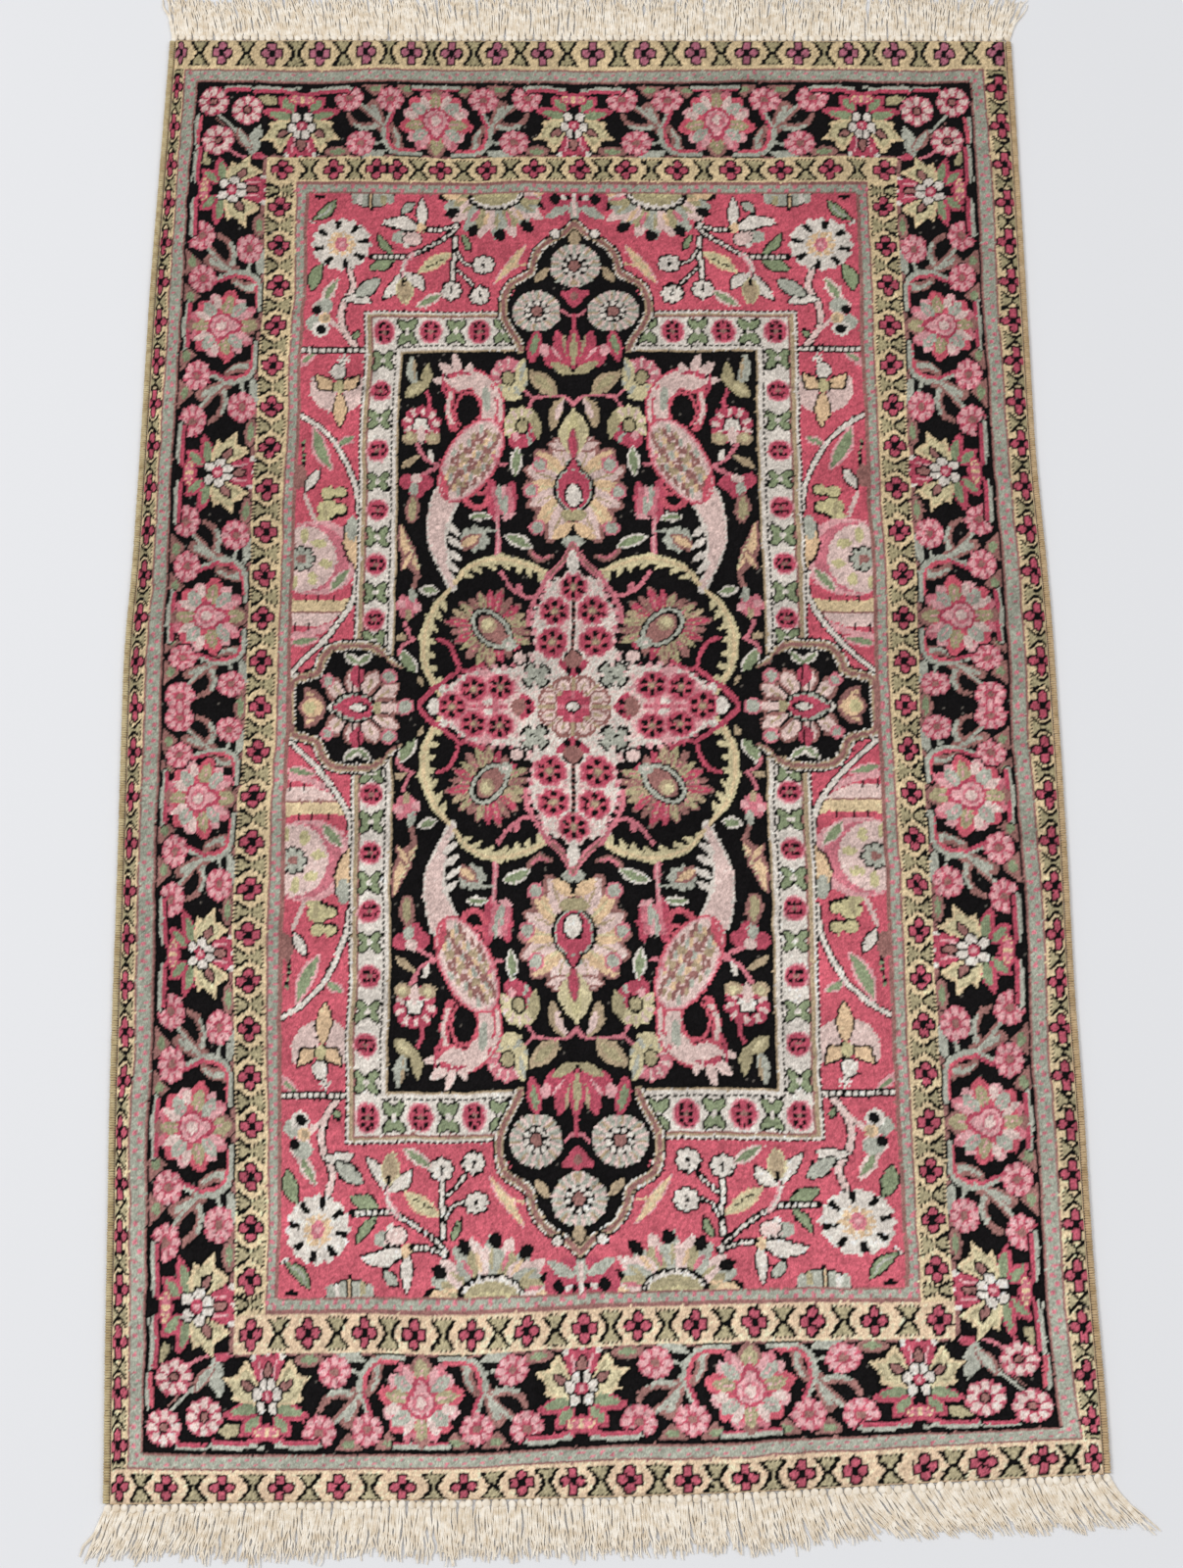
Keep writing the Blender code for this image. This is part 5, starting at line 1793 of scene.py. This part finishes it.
def fringe_group():
    """Threads that fall from each lock's knot, and the knot itself.

    The points that come in carry sweep (how far the lock leans), reach, spread and side.
    """
    group, start, end = new_group(
        "fringe",
        (
            ("Threads", "NodeSocketInt", 5),
            ("Thread Width", "NodeSocketFloat", 0.0014),
            ("Knot Size", "NodeSocketFloat", 0.006),
            ("Wave", "NodeSocketFloat", 0.0030),
            ("Seed", "NodeSocketInt", 3),
            ("Cotton", "NodeSocketMaterial", None),
        ),
    )

    def given(title):
        return Flow(group, start.outputs[title])

    def field(name, kind="FLOAT"):
        named = add(group, "GeometryNodeInputNamedAttribute", {0: name}, data_type=kind)
        return Flow(group, named.outputs[0])

    def store(geometry, name, value, kind="FLOAT"):
        links = {0: geometry, "Name": name, "Value": value}
        return add(group, "GeometryNodeStoreNamedAttribute", links, data_type=kind, domain="POINT")

    # Each lock's point becomes one point for each thread, side by side with a little disorder.
    copies = {"Geometry": start.outputs[0], "Amount": start.outputs["Threads"]}
    points = add(group, "GeometryNodeDuplicateElements", copies, domain="POINT")
    count = given("Threads").join("MAXIMUM", 1)
    lane = (Flow(group, points.outputs["Duplicate Index"]) + 0.5) / count - 0.5
    lane += Flow(group, random_value(group, -0.5, 0.5, start.outputs["Seed"])) * 0.26
    points = store(points, "lane", lane)
    points = store(points, "lot", random_value(group, 0.0, 100.0, given("Seed") + 7))
    points = store(points, "root", add(group, "GeometryNodeInputPosition"), "FLOAT_VECTOR")
    strand = add(group, "GeometryNodeCurvePrimitiveLine", {0: (0, 0, 0), 1: (0, 0.01, 0)})
    strand = add(group, "GeometryNodeResampleCurve", {"Curve": strand, "Count": 15})
    strand = store(strand, "along", add(group, "GeometryNodeSplineParameter").outputs["Factor"])
    placed = add(group, "GeometryNodeInstanceOnPoints", {"Points": points, "Instance": strand})
    real = add(group, "GeometryNodeRealizeInstances", {0: placed})
    along, lot, side = field("along"), field("lot"), field("side")
    reach = field("reach") * (lot.join("FRACT") * 0.26 + 0.86)
    fan = field("spread") * (along**0.7 * 0.95 + 0.35)
    x = field("lane") * fan + field("sweep") * along**1.3
    y = along * reach * side
    # Each thread has its own slow wander, in a slice of the noise of its own.
    probe = add(group, "ShaderNodeCombineXYZ", {0: lot, 1: along * 1.9, 2: 0.0})
    noise = add(group, "ShaderNodeTexNoise", {"Vector": probe, "Scale": 1.0, "Detail": 1.5})
    centred = {0: noise.outputs["Color"], 1: (0.5, 0.5, 0.5)}
    wander = add(group, "ShaderNodeVectorMath", centred, operation="SUBTRACT")
    grown = {0: wander, 3: along**0.8 * (given("Wave") * 6.5)}
    pulled = add(group, "ShaderNodeVectorMath", grown, operation="SCALE")
    parts = add(group, "ShaderNodeSeparateXYZ", {0: pulled})
    # Threads lie on the floor and over each other, and come down from the knot.
    radius = given("Thread Width") * 0.5
    lift = (lot * 7.3).join("FRACT") * 0.0014 * (along * 4.0).join("MINIMUM", 1.0)
    drop = (1.0 - along**0.35) * 0.0004
    sway = Flow(group, parts.outputs[1]) * 0.25
    offset = {0: x + parts.outputs[0], 1: y + sway, 2: radius + lift + drop}
    moved = add(group, "ShaderNodeCombineXYZ", offset)
    place = add(group, "ShaderNodeVectorMath", {0: field("root", "FLOAT_VECTOR"), 1: moved}, operation="ADD")
    laid = add(group, "GeometryNodeSetPosition", {"Geometry": real, "Position": place})
    ring = add(group, "GeometryNodeCurvePrimitiveCircle", {"Resolution": 5, "Radius": radius})
    taper = 1.0 - along**3.0 * 0.45
    laid = add(group, "GeometryNodeSetCurveRadius", {"Curve": laid, "Radius": taper})
    swept = {"Curve": laid, "Profile Curve": ring, "Fill Caps": True, "Scale": taper}
    tube = add(group, "GeometryNodeCurveToMesh", swept)
    ball = add(group, "GeometryNodeMeshIcoSphere", {"Radius": given("Knot Size") * 0.5, "Subdivisions": 2})
    jitter = random_value(group, (0.90, 1.0, 0.46), (1.08, 1.24, 0.54), 5)
    turned = random_value(group, (-0.3, -0.3, -0.6), (0.3, 0.3, 0.6), 9)
    outward = add(group, "ShaderNodeCombineXYZ", {1: side * 0.0018, 2: 0.0023})
    raised = add(group, "GeometryNodeSetPosition", {"Geometry": start.outputs[0], "Offset": outward})
    tied = {"Points": raised, "Instance": ball, "Scale": jitter, "Rotation": turned}
    knots = add(group, "GeometryNodeInstanceOnPoints", tied)
    finish_group(group, (tube, knots), start.outputs["Cotton"], end)
    return group


def overcast_group():
    """Wool wrapped round an edge cord: rings along the line that comes in, one every pitch."""
    group, start, end = new_group(
        "overcast",
        (
            ("Pitch", "NodeSocketFloat", 0.0024),
            ("Width", "NodeSocketFloat", CORD_WIDTH),
            ("Height", "NodeSocketFloat", CORD_HEIGHT),
            ("Wool", "NodeSocketMaterial", None),
        ),
    )
    pitch = start.outputs["Pitch"]
    curve = add(group, "GeometryNodeMeshToCurve", {0: start.outputs[0]})
    even = add(group, "GeometryNodeResampleCurve", {"Curve": curve, "Length": pitch}, mode="LENGTH")
    yarn = Flow(group, pitch) * 0.52
    circle = add(group, "GeometryNodeCurvePrimitiveCircle", {"Resolution": 10, "Radius": 0.5})
    thin = add(group, "GeometryNodeCurvePrimitiveCircle", {"Resolution": 5, "Radius": yarn})
    size = add(group, "ShaderNodeCombineXYZ", {0: start.outputs["Width"], 1: start.outputs["Height"], 2: 1.0})
    shrunk = add(group, "ShaderNodeVectorMath", {0: size, 1: (0.63, 0.50, 1.0)}, operation="MULTIPLY")
    # The ring is scaled before its yarn is given a width, so the yarn stays round.
    flat = add(group, "GeometryNodeTransform", {"Geometry": circle, "Scale": shrunk})
    ring = add(group, "GeometryNodeCurveToMesh", {"Curve": flat, "Profile Curve": thin})
    tangent = add(group, "GeometryNodeInputTangent")
    wobble = random_value(group, (-0.10, -0.10, -0.16), (0.10, 0.10, 0.16), 4)
    aim = add(group, "ShaderNodeVectorMath", {0: tangent, 1: wobble}, operation="ADD")
    turn = add(group, "FunctionNodeAlignRotationToVector", {"Vector": aim}, axis="Z")
    uneven = random_value(group, 0.95, 1.04, 8)
    wound = {"Points": even, "Instance": ring, "Rotation": turn, "Scale": uneven}
    wraps = add(group, "GeometryNodeInstanceOnPoints", wound)
    finish_group(group, (wraps,), start.outputs["Wool"], end)
    return group


class RUG_OT_fringes(bpy.types.Operator):
    """Knots and combs the cotton fringes at both ends"""

    bl_idname = "rug.fringes"
    bl_label = "Fringes"

    def execute(self, context):
        settings = context.scene.rug_settings
        rng = np.random.default_rng(settings.seed + 1)
        group = fringe_group()
        inputs = {
            "Threads": settings.threads,
            "Thread Width": settings.thread_width,
            "Knot Size": settings.knot_size,
            "Seed": settings.seed,
            # The second colour is the painted shade of the cotton.
            "Cotton": spun_cotton("spun cotton warp", "#fbf3e6", "#e2d2ba"),
        }
        for name, node, count, table, side, end_y in (
            ("fringe_knots_far", "fringe_far", FAR_LOCKS, FAR_SWEEP, 1.0, FAR_END),
            ("fringe_knots_near", "fringe_near", NEAR_LOCKS, NEAR_SWEEP, -1.0, NEAR_END),
        ):
            left = float(left_side(end_y)) + 0.001
            right = float(right_side(end_y)) - 0.001
            pitch = (right - left) / count
            x = left + pitch * (np.arange(count) + 0.5) + rng.normal(0, pitch * 0.07, count)
            y = np.full(count, FAR_END) if side > 0 else near_end(x)
            y = y + side * (GAP + STRIP_DEPTH * 0.6) + rng.normal(0, 0.0005, count)
            made = new_object(name, [(a, b, 0.0) for a, b in zip(x, y)])
            for title, held in (
                ("sweep", read_table(table, 1, x, 0.03) + rng.normal(0, 0.0016, count)),
                ("reach", read_table(table, 2, x, 0.03) * (1 + rng.normal(0, 0.05, count))),
                ("spread", pitch * (1.4 + rng.normal(0, 0.12, count))),
                ("side", np.full(count, side)),
            ):
                layer = made.data.attributes.new(title, "FLOAT", "POINT")
                layer.data.foreach_set("value", held.astype(np.float32))
            modified(made, group, inputs)
            settle(made, node)
        return {"FINISHED"}


class RUG_OT_edges(bpy.types.Operator):
    """Overcasts the two long edges with wool"""

    bl_idname = "rug.edges"
    bl_label = "Overcast edges"

    def execute(self, context):
        settings = context.scene.rug_settings
        group = overcast_group()
        for name, node, side, inward, lit_colour, shaded, slot in (
            # Each edge's second colour is the painted shade of its wool.
            ("overcast_left", "selvedge_left", left_side, 1.0, "#cbbb92", "#a9936a", "overcast_khaki"),
            ("overcast_right", "selvedge_right", right_side, -1.0, "#ccb28c", "#ab9068", "overcast_tan"),
        ):
            low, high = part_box(node)
            y = np.linspace(low[1] + 0.002, high[1] - 0.002, 260)
            x = side(y) + inward * CORD_WIDTH / 2
            spine = [(a, b, CORD_HEIGHT / 2) for a, b in zip(x, y)]
            made = new_object(name, spine, edges=[(i, i + 1) for i in range(len(y) - 1)])
            wool = spun_cotton("overcast wool " + slot.split("_")[1], lit_colour, shaded, sheen=0.25)
            modified(made, group, {"Pitch": settings.wrap_pitch, "Wool": wool})
            settle(made, node)
        return {"FINISHED"}


class RUG_OT_declare(bpy.types.Operator):
    """A last step that does nothing"""

    bl_idname = "rug.declare"
    bl_label = "Lay the rug"

    def execute(self, context):
        return {"FINISHED"}


class RUG_PT_panel(bpy.types.Panel):
    """The rug's settings and the steps that make it"""

    bl_label = "Rug"
    bl_idname = "RUG_PT_panel"
    bl_space_type = "VIEW_3D"
    bl_region_type = "UI"
    bl_category = "Rug"

    def draw(self, context):
        for key in RugSettings.__annotations__:
            self.layout.prop(context.scene.rug_settings, key)
        for step in STEPS:
            self.layout.operator(step.bl_idname)


STEPS = (RUG_OT_stage, RUG_OT_foundation, RUG_OT_pile, RUG_OT_edges, RUG_OT_fringes, RUG_OT_declare)
CLASSES = (RugSettings,) + STEPS + (RUG_PT_panel,)


def register():
    for item in CLASSES:
        bpy.utils.register_class(item)
    bpy.types.Scene.rug_settings = bpy.props.PointerProperty(type=RugSettings)


def unregister():
    del bpy.types.Scene.rug_settings
    for item in reversed(CLASSES):
        bpy.utils.unregister_class(item)


def main():
    register()
    for step in STEPS:
        getattr(bpy.ops.rug, step.bl_idname.split(".")[1])()


if __name__ == "__main__":
    main()
